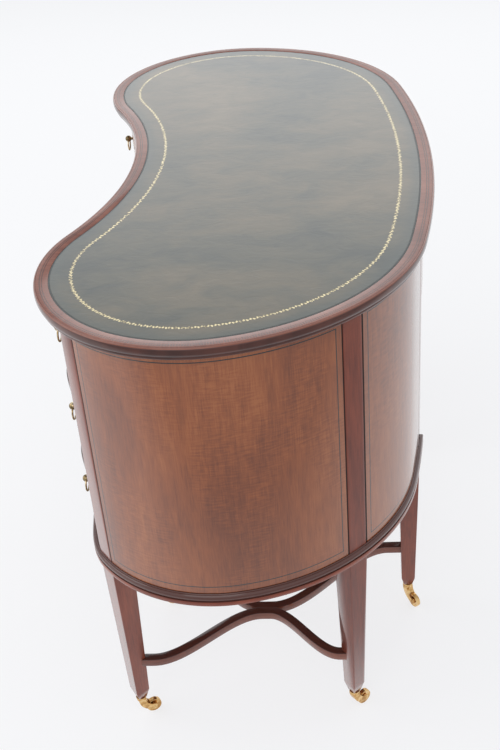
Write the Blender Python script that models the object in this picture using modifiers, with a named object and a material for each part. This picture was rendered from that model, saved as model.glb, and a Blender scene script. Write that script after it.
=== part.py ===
"""Kidney-shaped pedestal writing desk with a leather top, in metres, +Z up.

The front faces -Y and the desk is symmetric about the plane x = 0. The origin is on the
floor under the middle of the top. The plan of the top is a chain of tangent arcs, and
each curved piece follows that chain at an inset of its own.
"""
import math

import bmesh
import bpy
from mathutils import Matrix, Vector

# Top board and its plan curves
TOP_WIDTH = 1.160
TOP_DEPTH = 0.566
DESK_HEIGHT = 0.765
TOP_THICKNESS = 0.0175
TOP_EDGE_DEPTH = 0.0065
LOBE_RADIUS = 0.225
BACK_RADIUS = 1.625
KNEE_DEPTH = 0.084
SHOULDER_ANGLE = math.radians(9.25)
ARC_STEPS = (6, 17, 12, 3)

# Crossband and writing leather, let into the top
RIM_WIDTH = 0.003
REBATE_DEPTH = 0.0012
BAND_WIDTH = 0.0170
BAND_THICKNESS = 0.0009
LEATHER_THICKNESS = 0.0007

# Pedestal cases
CASE_INSET = 0.016
PANEL_THICKNESS = 0.011
KNEEHOLE_WIDTH = 0.400
BASE_BOTTOM = 0.332
BASE_THICKNESS = 0.020
BASE_PROUD = 0.0055
SIDE_BLEND = 0.095
KNEE_BLEND = 0.028
DRAWER_SETBACK = 0.011
RAIL_THICKNESS = 0.012
RAIL_PROUD = 0.0035
RAIL_ROUNDING = 0.003
RAIL_DEPTH = 0.040
GUIDE_HEIGHT = 0.012
GUIDE_WIDTH = 0.010
GUIDE_SETBACK = 0.005
RUNNER_WIDTH = 0.014

# Legs, which run up through the case as its corner posts
LEG_WIDTH = 0.034
SQUARING_HEIGHT = 0.012
ANKLE_WIDTH = 0.023
ANKLE_HEIGHT = 0.060
FOOT_WIDTH = 0.014
FRONT_LEG_ANGLE = math.radians(-52.6)
REAR_LEG_ANGLE = math.radians(44.2)
REAR_LEG_TURN = math.radians(42)

# Stretchers
STRETCHER_SIZE = 0.014
STRETCHER_TOP = 0.130
STRETCHER_STEPS = 16
MEETING_ACROSS_SHARE = 0.594
MEETING_ALONG_SHARE = 0.52
BOW_START_SHARE = 0.04
BOW_END_SHARE = 0.85

# Drawers
DRAWER_GAP = 0.0008
FRONT_THICKNESS = 0.018
DRAWER_WALL = 0.008
DRAWER_BOTTOM = 0.005
BOTTOM_LIFT = 0.003
WALL_DROP = 0.006
DRAWER_BACK_GAP = 0.012
DOVETAIL_LAP = 0.010
GROOVE_DEPTH = 0.004
BACK_REVEAL = 0.004
BACK_DROP = 0.003
CENTRE_DRAWER_LENGTH = 0.300

# Ring pulls
ROSE_RADIUS = 0.008
ROSE_THICKNESS = 0.0016
ROSE_EDGE = 0.0011
ROSE_STEP_RADIUS = 0.0048
ROSE_NECK_HEIGHT = 0.0032
STUD_RADIUS = 0.0026
KNOB_RADIUS = 0.0060
PULL_REACH = 0.017
RING_RADIUS = 0.0110
RING_WIRE = 0.0014
RING_PLAY = 0.0004
PULL_DROP = 0.015
PULL_STEPS = 10
KNOB_STEPS = 5
RING_STEPS = 16
WIRE_STEPS = 5

# Castors
CASTOR_HEIGHT = 0.041
CASTOR_TRAIL = 0.0185
CASTOR_HEADINGS = {
    "outer_front": math.radians(116),
    "outer_back": math.radians(132),
    "knee_back": math.radians(35),
    "knee_front": math.radians(90),
}
WHEEL_RADIUS = 0.0125
WHEEL_WIDTH = 0.009
WHEEL_CROWN = 0.0012
WHEEL_RECESS = 0.0012
WHEEL_HUB_RADIUS = 0.0048
WHEEL_PLAY = 0.0004
WHEEL_ROOM = 0.0012
CHEEK_THICKNESS = 0.0018
AXLE_RADIUS = 0.0020
STEM_RADIUS = 0.0025
STEM_LENGTH = 0.0060
CUP_RADIUS = 0.0085
CUP_THICKNESS = 0.0030
PLATE_RADIUS = 0.0072
PLATE_THICKNESS = 0.0030
HORN_TOP_HALF = 0.0060
HORN_NECK_HALF = 0.0042
HORN_BOSS_RADIUS = 0.0058
HORN_DIP = 0.0180
HORN_STEPS = 4
BOSS_STEPS = 4
CASTOR_STEPS = 12
WHEEL_SPACE_STEPS = 18
AXLE_STEPS = 8

# Fits
JOINT_GAP = 0.0003
GLUE_LAP = 0.001
CUT_OVERRUN = 0.004
WELD_DISTANCE = 0.00001
SMOOTH_ANGLE = math.radians(35)
QUARTER_TURN = math.radians(90)
SOLVER_STEPS = 50
SEARCH_SHARE = 0.45

# Edge profiles, as (depth share, height share) up the edge from the underside
TOP_EDGE_SHARES = (
    (1.00, 0.00), (0.50, 0.12), (0.62, 0.27), (0.14, 0.33),
    (0.00, 0.60), (0.06, 0.86), (0.30, 1.00),
)
BASE_EDGE_SHARES = (
    (0.30, 0.00), (0.00, 0.07), (0.00, 0.38), (0.34, 0.45),
    (0.08, 0.58), (0.14, 0.78), (0.44, 0.92), (0.85, 1.00),
)

# Finishes: colour, roughness, metallic
MAHOGANY = ((0.30, 0.105, 0.050), 0.30, 0.0)
DARK_MAHOGANY = ((0.135, 0.045, 0.030), 0.28, 0.0)
CROSSBAND = ((0.33, 0.14, 0.10), 0.32, 0.0)
DRAWER_LINING = ((0.42, 0.22, 0.11), 0.50, 0.0)
LEATHER = ((0.085, 0.085, 0.050), 0.45, 0.0)
BRASS = ((0.78, 0.55, 0.22), 0.22, 1.0)

# Places worked out from the sizes above
TOP_UNDER = DESK_HEIGHT - TOP_THICKNESS
CASE_TOP = TOP_UNDER - JOINT_GAP
BASE_TOP = BASE_BOTTOM + BASE_THICKNESS
DRAWER_INSET = CASE_INSET + DRAWER_SETBACK
RAIL_INSET = DRAWER_INSET - RAIL_PROUD
PANEL_INNER = CASE_INSET + PANEL_THICKNESS
KNEE_FACE = KNEEHOLE_WIDTH / 2
KNEE_POST_EDGE = KNEE_FACE + LEG_WIDTH
HALF_LEG = LEG_WIDTH / 2
BAY_HEIGHT = (CASE_TOP - BASE_TOP - 2 * RAIL_THICKNESS) / 3
LOWER_RAIL = BASE_TOP + BAY_HEIGHT
UPPER_RAIL = LOWER_RAIL + RAIL_THICKNESS + BAY_HEIGHT
TOP_BAY_FLOOR = UPPER_RAIL + RAIL_THICKNESS
AXLE_HEIGHT = WHEEL_RADIUS
FLIP = Matrix.Scale(-1, 4, Vector((1, 0, 0)))


def clear_scene():
    """Remove whatever the opened file holds."""
    for leftover in list(bpy.data.objects):
        bpy.data.objects.remove(leftover, do_unlink=True)


def new_collection(name):
    """A collection linked to the scene."""
    collection = bpy.data.collections.new(name)
    bpy.context.scene.collection.children.link(collection)
    return collection


def plan_arcs():
    """The right half of the top's outline: knee, lobe, shoulder and back arcs.

    Each arc is (centre, radius, start angle, end angle, side), where side is -1 for the
    hollow knee arc, whose radius grows with the inset, and 1 for the others.
    """
    lobe = Vector((TOP_WIDTH / 2 - LOBE_RADIUS, LOBE_RADIUS - TOP_DEPTH / 2))
    back = Vector((0, TOP_DEPTH / 2 - BACK_RADIUS))
    turn = Vector((math.cos(SHOULDER_ANGLE), math.sin(SHOULDER_ANGLE)))
    apart = lobe - back
    slack = BACK_RADIUS - LOBE_RADIUS
    growth = (apart.length_squared - slack ** 2) / (2 * (apart.dot(turn) - slack))
    shoulder = lobe - growth * turn
    rise = KNEE_DEPTH - LOBE_RADIUS
    knee_radius = (lobe.x ** 2 + rise ** 2 - LOBE_RADIUS ** 2) / (2 * KNEE_DEPTH)
    knee = Vector((0, KNEE_DEPTH - TOP_DEPTH / 2 - knee_radius))
    knee_angle = math.atan2(lobe.y - knee.y, lobe.x)
    back_angle = math.atan2(shoulder.y - back.y, shoulder.x)
    return (
        (knee, knee_radius, QUARTER_TURN, knee_angle, -1),
        (lobe, LOBE_RADIUS, knee_angle - 2 * QUARTER_TURN, SHOULDER_ANGLE, 1),
        (shoulder, LOBE_RADIUS + growth, SHOULDER_ANGLE, back_angle, 1),
        (back, BACK_RADIUS, back_angle, QUARTER_TURN, 1),
    )


ARCS = plan_arcs()
LOBE_CENTRE = ARCS[1][0]
HALF_KNOTS = [arc + step / count for arc, count in enumerate(ARC_STEPS) for step in range(count)]
HALF_KNOTS.append(float(len(ARCS)))
ALL_KNOTS = [-knot for knot in reversed(HALF_KNOTS[1:])] + HALF_KNOTS


def plan_point(station, inset):
    """A point of the outline at an inset. A negative station is on the left half."""
    arc = min(int(abs(station)), len(ARCS) - 1)
    centre, radius, start, end, side = ARCS[arc]
    angle = start + (end - start) * (abs(station) - arc)
    reach = radius - side * inset
    across = centre.x + reach * math.cos(angle)
    return Vector((math.copysign(across, station), centre.y + reach * math.sin(angle)))


def arc_station(arc, angle):
    """The station of an angle on one of the arcs."""
    start, end = ARCS[arc][2], ARCS[arc][3]
    return arc + (angle - start) / (end - start)


def solve(function, low, high):
    """Where a function changes its sign between two values."""
    low_sign = function(low) > 0
    for _ in range(SOLVER_STEPS):
        middle = (low + high) / 2
        if (function(middle) > 0) == low_sign:
            low = middle
        else:
            high = middle
    return (low + high) / 2


def front_station(across, inset):
    """The station on the front line that lies at a given x."""
    if across == 0:
        return 0
    station = solve(lambda s: plan_point(s, inset).x - abs(across), 0, 2)
    return math.copysign(station, across)


def back_station(across, inset):
    """The station on the back line that lies at a given x."""
    return solve(lambda s: plan_point(s, inset).x - across, 2, len(ARCS))


def inner_knots(start, end):
    """The shared stations between two ends, leaving out any that crowd an end."""
    crowding = 1 / (2 * max(ARC_STEPS))
    return [knot for knot in ALL_KNOTS if start + crowding < knot < end - crowding]


def curve_points(start, end, inset, knots=None):
    """Points along the outline at an inset, from one station to another."""
    between = inner_knots(start, end) if knots is None else knots
    return [plan_point(station, inset) for station in [start, *between, end]]


class Leg:
    """One leg: its centre, the way it faces, and where it stands on the case line."""

    def __init__(self, name, station, outward, centre):
        self.name = name
        self.station = station
        self.outward = outward
        self.along = Vector((-outward.y, outward.x))
        self.centre = centre

    def edge_station(self, offset, inset):
        """The station where the outline passes a line beside the leg."""
        reach = math.copysign(SEARCH_SHARE, offset)

        def beyond(station):
            return (plan_point(station, inset) - self.centre).dot(self.along) - offset

        return solve(beyond, self.station, self.station + reach)

    def corner(self, out_side, along_side, half):
        """A corner of a square about the leg's centre."""
        return self.centre + self.outward * out_side * half + self.along * along_side * half


def case_leg(name, arc, station_angle, turn_angle):
    """A leg on the curved outside of the case."""
    station = arc_station(arc, station_angle)
    outward = Vector((math.cos(turn_angle), math.sin(turn_angle)))
    centre = plan_point(station, CASE_INSET) - outward * HALF_LEG
    return Leg(name, station, outward, centre)


def kneehole_leg(name, front):
    """A leg at the side of the kneehole, square to the room."""
    across = KNEE_FACE + HALF_LEG
    station = front_station(across, CASE_INSET) if front else back_station(across, CASE_INSET)
    outward = Vector((0, -1)) if front else Vector((0, 1))
    centre = plan_point(station, CASE_INSET) - outward * HALF_LEG
    return Leg(name, station, outward, centre)


OUTER_FRONT = case_leg("outer_front", 1, FRONT_LEG_ANGLE, FRONT_LEG_ANGLE)
OUTER_BACK = case_leg("outer_back", 2, REAR_LEG_ANGLE, REAR_LEG_TURN)
KNEE_BACK = kneehole_leg("knee_back", False)
KNEE_FRONT = kneehole_leg("knee_front", True)
LEGS = (OUTER_FRONT, OUTER_BACK, KNEE_BACK, KNEE_FRONT)


def raise_points(points, height):
    """Plan points lifted to a height."""
    return [Vector((point.x, point.y, height)) for point in points]


def finished_mesh(shell, name):
    """Weld a bmesh, turn its faces outwards and return it as a mesh."""
    bmesh.ops.remove_doubles(shell, verts=shell.verts, dist=WELD_DISTANCE)
    bmesh.ops.recalc_face_normals(shell, faces=shell.faces)
    mesh = bpy.data.meshes.new(name)
    shell.to_mesh(mesh)
    shell.free()
    return mesh


def loft(rings, closed=False):
    """A solid through rings of equally many points, capped unless it closes on itself."""
    shell = bmesh.new()
    loops = [[shell.verts.new(point) for point in ring] for ring in rings]
    if closed:
        loops.append(loops[0])
    else:
        shell.faces.new(reversed(loops[0]))
        shell.faces.new(loops[-1])
    for lower, upper in zip(loops, loops[1:]):
        for index in range(len(lower)):
            following = (index + 1) % len(lower)
            shell.faces.new((lower[index], lower[following], upper[following], upper[index]))
    return finished_mesh(shell, "loft")


def board(outline, low, high):
    """A flat outline, given in plan, filled and thickened from one height to another."""
    curve = bpy.data.curves.new("board", "CURVE")
    curve.dimensions = "2D"
    curve.fill_mode = "BOTH"
    curve.extrude = (high - low) / 2
    spline = curve.splines.new("POLY")
    spline.points.add(len(outline) - 1)
    for point, place in zip(spline.points, outline):
        point.co = (place.x, place.y, 0, 1)
    spline.use_cyclic_u = True
    pattern = bpy.data.objects.new("board", curve)
    CUTTERS.objects.link(pattern)
    bpy.context.view_layer.update()
    shell = bmesh.new()
    shell.from_mesh(evaluated(pattern))
    bpy.data.objects.remove(pattern)
    bmesh.ops.translate(shell, verts=shell.verts, vec=(0, 0, (low + high) / 2))
    return finished_mesh(shell, "board")


def block(low, high):
    """A rectangular block between two corners."""
    size = Vector(high) - Vector(low)
    middle = (Vector(high) + Vector(low)) / 2
    shell = bmesh.new()
    place = Matrix.Translation(middle) @ Matrix.Diagonal((*size, 1))
    bmesh.ops.create_cube(shell, size=1, matrix=place)
    return finished_mesh(shell, "block")


def evaluated(source):
    """The mesh of an object with its modifiers applied."""
    depsgraph = bpy.context.evaluated_depsgraph_get()
    return bpy.data.meshes.new_from_object(source.evaluated_get(depsgraph))


def turned(profile, steps, closed=False):
    """A solid turned about Z from (radius, height) points that run down its outer side."""
    mesh = bpy.data.meshes.new("profile")
    points = [(radius, 0, height) for radius, height in profile]
    edges = [(index, index + 1) for index in range(len(points) - 1)]
    if closed:
        edges.append((len(points) - 1, 0))
    mesh.from_pydata(points, edges, [])
    pattern = bpy.data.objects.new("profile", mesh)
    CUTTERS.objects.link(pattern)
    screw = pattern.modifiers.new("turn", "SCREW")
    screw.steps = steps
    screw.render_steps = steps
    screw.use_merge_vertices = True
    screw.merge_threshold = WELD_DISTANCE
    shell = bmesh.new()
    shell.from_mesh(evaluated(pattern))
    bpy.data.objects.remove(pattern)
    return finished_mesh(shell, "turned")


def rod(radius, length, steps, place):
    """A cylinder about the Z axis of a given placement."""
    shell = bmesh.new()
    bmesh.ops.create_cone(
        shell, cap_ends=True, segments=steps, radius1=radius, radius2=radius,
        depth=length, matrix=place)
    return finished_mesh(shell, "rod")


def worked(solid, steps):
    """A solid after a list of Boolean steps, each (operation, tool mesh)."""
    work = bpy.data.objects.new("work", solid)
    CUTTERS.objects.link(work)
    tools = []
    for operation, tool_mesh in steps:
        tool = bpy.data.objects.new("tool", tool_mesh)
        tool.hide_render = True
        tool.display_type = "WIRE"
        CUTTERS.objects.link(tool)
        tools.append(tool)
        change = work.modifiers.new("cut", "BOOLEAN")
        change.operation = operation
        change.solver = "EXACT"
        change.object = tool
    bpy.context.view_layer.update()
    shell = bmesh.new()
    shell.from_mesh(evaluated(work))
    for spent in [work, *tools]:
        bpy.data.objects.remove(spent)
    return finished_mesh(shell, "worked")


def give_finish(piece, finish):
    """Give a piece a material of its own."""
    colour, roughness, metallic = finish
    material = bpy.data.materials.new(piece.name + "_finish")
    material.use_nodes = True
    shader = material.node_tree.nodes["Principled BSDF"]
    shader.inputs["Base Color"].default_value = (*colour, 1)
    shader.inputs["Roughness"].default_value = roughness
    shader.inputs["Metallic"].default_value = metallic
    material.diffuse_color = (*colour, 1)
    piece.material_slots[0].link = "OBJECT"
    piece.material_slots[0].material = material


def add_piece(name, mesh, finish, origin=(0, 0, 0), parent=None, rounded=False):
    """An object for a mesh whose points are measured from the given origin."""
    if not mesh.materials:
        mesh.materials.append(None)
    if rounded:
        mesh.shade_smooth()
        mesh.set_sharp_from_angle(angle=SMOOTH_ANGLE)
    piece = bpy.data.objects.new(name, mesh)
    DESK.objects.link(piece)
    give_finish(piece, finish)
    carrier = parent or STAND
    piece.parent = carrier
    bpy.context.view_layer.update()
    piece.matrix_world = Matrix.Translation(Vector(origin))
    bpy.context.view_layer.update()
    return piece


def add_pair(name, mesh, finish, rounded=False):
    """A fixed piece of the right pedestal and its mirror image on the left."""
    add_piece("right_" + name, mesh, finish, rounded=rounded)
    twin = mirrored(mesh)
    add_piece("left_" + name, twin, finish, rounded=rounded)


def mirrored(mesh):
    """The mirror image of a mesh about x = 0."""
    twin = mesh.copy()
    twin.transform(FLIP)
    twin.flip_normals()
    return twin


def glued(solids):
    """One solid made of pieces that lap into each other."""
    return worked(solids[0], [("UNION", solid) for solid in solids[1:]])


def full_ring(inset, height):
    """The whole outline at an inset."""
    stations = HALF_KNOTS + [-knot for knot in reversed(HALF_KNOTS[1:-1])]
    return raise_points([plan_point(station, inset) for station in stations], height)


def top_board():
    """The kidney top: a moulded edge, and a rebate that takes the crossband and leather."""
    rings = [
        full_ring(TOP_EDGE_DEPTH * depth, TOP_UNDER + TOP_THICKNESS * height)
        for depth, height in TOP_EDGE_SHARES
    ]
    rings.append(full_ring(RIM_WIDTH, DESK_HEIGHT))
    rings.append(full_ring(RIM_WIDTH, DESK_HEIGHT - REBATE_DEPTH))
    add_piece("top_board", loft(rings), DARK_MAHOGANY, rounded=True)


def crossband():
    """The veneer band that borders the leather."""
    outer = RIM_WIDTH + JOINT_GAP
    inner = outer + BAND_WIDTH
    floor = DESK_HEIGHT - REBATE_DEPTH + JOINT_GAP
    rings = [
        full_ring(outer, floor), full_ring(outer, floor + BAND_THICKNESS),
        full_ring(inner, floor + BAND_THICKNESS), full_ring(inner, floor),
    ]
    add_piece("crossband", loft(rings, closed=True), CROSSBAND)


def leather_skiver():
    """The writing leather, laid inside the crossband."""
    edge = RIM_WIDTH + BAND_WIDTH + 2 * JOINT_GAP
    floor = DESK_HEIGHT - REBATE_DEPTH + JOINT_GAP
    rings = [full_ring(edge, floor), full_ring(edge, floor + LEATHER_THICKNESS)]
    add_piece("leather_skiver", loft(rings), LEATHER)


def leg_solid(leg, clearance):
    """A leg from foot to top, or, with a clearance, the space that it needs."""
    half = HALF_LEG + clearance
    face = CASE_INSET - clearance
    post = [
        plan_point(leg.edge_station(-half, face), face),
        plan_point(leg.station, face),
        plan_point(leg.edge_station(half, face), face),
        leg.corner(-1, 1, half),
        leg.corner(-1, -1, half),
    ]

    def square(width):
        reach = width / 2 + clearance
        outer = leg.corner(1, -1, reach), leg.corner(1, 1, reach)
        return [
            outer[0], (outer[0] + outer[1]) / 2, outer[1],
            leg.corner(-1, 1, reach), leg.corner(-1, -1, reach),
        ]

    knee = BASE_BOTTOM - SQUARING_HEIGHT
    return loft([
        raise_points(square(FOOT_WIDTH), CASTOR_HEIGHT + JOINT_GAP),
        raise_points(square(ANKLE_WIDTH), ANKLE_HEIGHT),
        raise_points(square(LEG_WIDTH), knee),
        raise_points(post, BASE_BOTTOM),
        raise_points(post, CASE_TOP + clearance),
    ])


def cut_for_legs(solid):
    """A solid with room for the four legs of its pedestal."""
    return worked(solid, [("DIFFERENCE", leg_solid(leg, JOINT_GAP)) for leg in LEGS])


def legs():
    """The four legs of each pedestal, each bored for its castor's stem."""
    for leg in LEGS:
        top = CASTOR_HEIGHT + STEM_LENGTH + JOINT_GAP
        low = CASTOR_HEIGHT - CUT_OVERRUN
        place = Matrix.Translation((leg.centre.x, leg.centre.y, (top + low) / 2))
        bore = rod(STEM_RADIUS + JOINT_GAP, top - low, CASTOR_STEPS, place)
        add_pair(leg.name + "_leg", worked(leg_solid(leg, 0), [("DIFFERENCE", bore)]), MAHOGANY)


def panel_outline(before, after, outer, inner):
    """The plan of a curved panel that fits between two legs."""
    offset = HALF_LEG + JOINT_GAP

    def side(inset):
        start = before.edge_station(offset, inset)
        end = after.edge_station(-offset, inset)
        return curve_points(start, end, inset)

    return side(outer) + side(inner)[::-1]


def panels():
    """The end and back panels of each pedestal."""
    low = BASE_TOP + JOINT_GAP
    end = panel_outline(OUTER_FRONT, OUTER_BACK, CASE_INSET, PANEL_INNER)
    add_pair("end_panel", board(end, low, CASE_TOP), MAHOGANY)
    back = panel_outline(OUTER_BACK, KNEE_BACK, CASE_INSET, PANEL_INNER)
    add_pair("back_panel", board(back, low, CASE_TOP), MAHOGANY)


def smooth(share):
    """A soft step from 0 to 1."""
    held = min(max(share, 0), 1)
    return held * held * (3 - 2 * held)


def front_share(station):
    """How far the base moulding has stepped back from the case line to the drawer line."""
    if station >= OUTER_FRONT.station:
        return 0
    across = plan_point(station, CASE_INSET).x
    side = plan_point(OUTER_FRONT.station, CASE_INSET).x
    return smooth((across - KNEE_POST_EDGE) / KNEE_BLEND) * smooth((side - across) / SIDE_BLEND)


def pedestal_loop(face_inset, knee_side, height, knots):
    """A closed ring round a pedestal: front, end and back, then the kneehole side.

    face_inset gives the inset at a station, and knee_side is the x of the straight side.
    """
    start = solve(lambda s: plan_point(s, face_inset(s)).x - knee_side, 0, OUTER_FRONT.station)
    end = back_station(knee_side, face_inset(knots[-1]))
    stations = [start, *knots, end]
    return raise_points([plan_point(s, face_inset(s)) for s in stations], height)


def base_board():
    """The moulded base of a case, which the legs pass through."""
    nose = CASE_INSET - BASE_PROUD
    inside = CASE_INSET + BASE_PROUD
    knots = inner_knots(front_station(KNEE_FACE, inside), back_station(KNEE_FACE, inside))
    rings = []
    for depth, height in BASE_EDGE_SHARES:
        step = BASE_PROUD * depth

        def inset(station, step=step):
            return nose + step + DRAWER_SETBACK * front_share(station)

        side = KNEE_FACE - BASE_PROUD + step
        rings.append(pedestal_loop(inset, side, BASE_BOTTOM + BASE_THICKNESS * height, knots))
    whole = glued([cut_for_legs(loft(rings)), outer_guide(BASE_TOP)])
    add_pair("base_board", whole, DARK_MAHOGANY, rounded=True)


def dust_board(low):
    """A board across a case: its front is a dividing rail, and a drawer runs on it."""
    inner = PANEL_INNER + JOINT_GAP
    side = KNEE_FACE + PANEL_THICKNESS / 2
    knots = inner_knots(front_station(side, inner), back_station(side, inner))
    levels = (
        (1, low), (0, low + RAIL_ROUNDING),
        (0, low + RAIL_THICKNESS - RAIL_ROUNDING), (1, low + RAIL_THICKNESS),
    )
    rings = []
    for depth, height in levels:
        step = RAIL_ROUNDING * depth

        def inset(station, step=step):
            return step + (RAIL_INSET if station < OUTER_FRONT.station else inner)

        rings.append(pedestal_loop(inset, side, height, knots))
    return cut_for_legs(loft(rings))


def drawer_side():
    """The x of the outer side of a pedestal drawer's box."""
    return OUTER_FRONT.corner(-1, -1, HALF_LEG).x - DRAWER_GAP


def drawer_back():
    """The y of the back of a pedestal drawer."""
    return OUTER_BACK.corner(-1, -1, HALF_LEG).y - DRAWER_BACK_GAP


def outer_guide(floor):
    """The strip outside a drawer, glued to the board that it stands on."""
    side = drawer_side() + DRAWER_GAP
    start = OUTER_FRONT.corner(-1, 1, HALF_LEG).y + GUIDE_SETBACK
    stop = OUTER_BACK.corner(-1, -1, HALF_LEG).y - GUIDE_SETBACK
    return block((side, start, floor - GLUE_LAP), (side + GUIDE_WIDTH, stop, floor + GUIDE_HEIGHT))


def knee_guide(floor):
    """The strip beside a drawer, glued to the kneehole panel."""
    side = KNEE_FACE + PANEL_THICKNESS - GLUE_LAP
    start = KNEE_FRONT.centre.y + HALF_LEG + GUIDE_SETBACK
    stop = KNEE_BACK.centre.y - HALF_LEG - GUIDE_SETBACK
    return block((side, start, floor + GLUE_LAP), (KNEE_POST_EDGE, stop, floor + GUIDE_HEIGHT))


def drawer_carcase():
    """The kneehole panel of a case, with the dividing rails and guides housed in it."""
    start = KNEE_FRONT.centre.y + HALF_LEG + JOINT_GAP
    stop = KNEE_BACK.centre.y - HALF_LEG - JOINT_GAP
    low = BASE_TOP + JOINT_GAP
    solids = [block((KNEE_FACE, start, low), (KNEE_FACE + PANEL_THICKNESS, stop, CASE_TOP))]
    solids += [dust_board(LOWER_RAIL), dust_board(UPPER_RAIL), knee_guide(BASE_TOP)]
    for floor in (LOWER_RAIL + RAIL_THICKNESS, TOP_BAY_FLOOR):
        solids += [knee_guide(floor - 2 * GLUE_LAP), outer_guide(floor)]
    add_pair("drawer_carcase", glued(solids), DARK_MAHOGANY)


def rail_outline(end, front_inset, back_inset):
    """The plan of a curved rail across the kneehole front."""
    reach = front_station(end, back_inset)
    knots = inner_knots(-reach, reach)
    sides = []
    for inset in (front_inset, back_inset):
        tip = front_station(end, inset)
        sides.append(curve_points(-tip, tip, inset, knots))
    return sides[0] + sides[1][::-1]


def centre_drawer_frame():
    """The rail and runners that carry the drawer over the kneehole."""
    end = KNEE_FACE - JOINT_GAP
    back_inset = RAIL_INSET + RAIL_DEPTH
    levels = (
        (1, UPPER_RAIL), (0, UPPER_RAIL + RAIL_ROUNDING),
        (0, TOP_BAY_FLOOR - RAIL_ROUNDING), (1, TOP_BAY_FLOOR),
    )
    rings = []
    for depth, height in levels:
        step = RAIL_ROUNDING * depth
        rings.append(raise_points(rail_outline(end, RAIL_INSET + step, back_inset), height))
    inner = end - RUNNER_WIDTH
    start = plan_point(front_station(inner, back_inset), back_inset).y - RUNNER_WIDTH
    stop = plan_point(back_station(end, PANEL_INNER), PANEL_INNER).y - JOINT_GAP
    right = block(
        (inner, start, UPPER_RAIL + GLUE_LAP), (end - GLUE_LAP, stop, TOP_BAY_FLOOR - GLUE_LAP))
    add_piece("centre_drawer_frame", glued([loft(rings), right, mirrored(right)]), DARK_MAHOGANY)


def back_apron():
    """The curved board that closes the top of the kneehole at the back."""
    end = KNEE_FACE - JOINT_GAP

    def side(inset):
        right = [plan_point(knot, inset) for knot in HALF_KNOTS[:-1]]
        right = [point for point in right if point.y > 0 and point.x < end - CUT_OVERRUN]
        tip = plan_point(back_station(end, inset), inset)
        half = [tip, *right]
        return half + [plan_point(len(ARCS), inset)] + [Vector((-p.x, p.y)) for p in reversed(half)]

    outline = side(CASE_INSET) + side(PANEL_INNER)[::-1]
    add_piece("back_apron", board(outline, UPPER_RAIL, CASE_TOP), MAHOGANY)


def bow(outer_front, outer_back, meeting, side):
    """The plan of one stretcher, which swings in from two legs to the meeting place."""
    middle = meeting.x + side * (STRETCHER_SIZE - GLUE_LAP) / 2
    centre = []
    for step in range(STRETCHER_STEPS + 1):
        share = 2 * step / STRETCHER_STEPS - 1
        leg = outer_back if share > 0 else outer_front
        swing = smooth((abs(share) - BOW_START_SHARE) / (BOW_END_SHARE - BOW_START_SHARE))
        along = meeting.y + (leg.centre.y - meeting.y) * abs(share)
        centre.append(Vector((middle + (leg.centre.x - middle) * swing, along)))
    edges = []
    for hand in (1, -1):
        for index, point in enumerate(centre):
            before = centre[max(index - 1, 0)]
            after = centre[min(index + 1, STRETCHER_STEPS)]
            run = (after - before).normalized()
            edges.append(point + hand * Vector((run.y, -run.x)) * STRETCHER_SIZE / 2)
    return edges[:STRETCHER_STEPS + 1] + edges[STRETCHER_STEPS + 1:][::-1]


def stretchers():
    """The two bowed stretchers that tie the legs of each pedestal."""
    outer_x = (OUTER_FRONT.centre.x + OUTER_BACK.centre.x) / 2
    knee_x = (KNEE_FRONT.centre.x + KNEE_BACK.centre.x) / 2
    front_y = (OUTER_FRONT.centre.y + KNEE_FRONT.centre.y) / 2
    back_y = (OUTER_BACK.centre.y + KNEE_BACK.centre.y) / 2
    meeting = Vector((
        knee_x + (outer_x - knee_x) * MEETING_ACROSS_SHARE,
        front_y + (back_y - front_y) * MEETING_ALONG_SHARE))
    low = STRETCHER_TOP - STRETCHER_SIZE
    bows = [
        board(bow(OUTER_FRONT, OUTER_BACK, meeting, 1), low, STRETCHER_TOP),
        board(bow(KNEE_FRONT, KNEE_BACK, meeting, -1), low, STRETCHER_TOP),
    ]
    add_pair("stretchers", cut_for_legs(glued(bows)), DARK_MAHOGANY)


class Bay:
    """A drawer's place: its name, its ends along the front, its box and its heights."""

    def __init__(self, name, left_end, right_end, box_sides, back, floor, ceiling):
        self.name = name
        self.left_end = left_end
        self.right_end = right_end
        self.box_sides = box_sides
        self.back = back
        self.floor = floor
        self.ceiling = ceiling


def pedestal_bay(name, floor, ceiling):
    """A bay of the right pedestal, between the kneehole post and the outer post."""
    edge = KNEE_POST_EDGE + DRAWER_GAP
    offset = -HALF_LEG - DRAWER_GAP
    return Bay(
        name, lambda inset: front_station(edge, inset),
        lambda inset: OUTER_FRONT.edge_station(offset, inset),
        (edge + JOINT_GAP, drawer_side()), drawer_back(), floor, ceiling)


def centre_bay(name, floor, ceiling):
    """The bay over the kneehole."""
    edge = KNEE_FACE - DRAWER_GAP
    front = plan_point(0, DRAWER_INSET).y
    return Bay(
        name, lambda inset: -front_station(edge, inset),
        lambda inset: front_station(edge, inset),
        (JOINT_GAP - edge, edge - JOINT_GAP), front + CENTRE_DRAWER_LENGTH, floor, ceiling)


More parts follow.
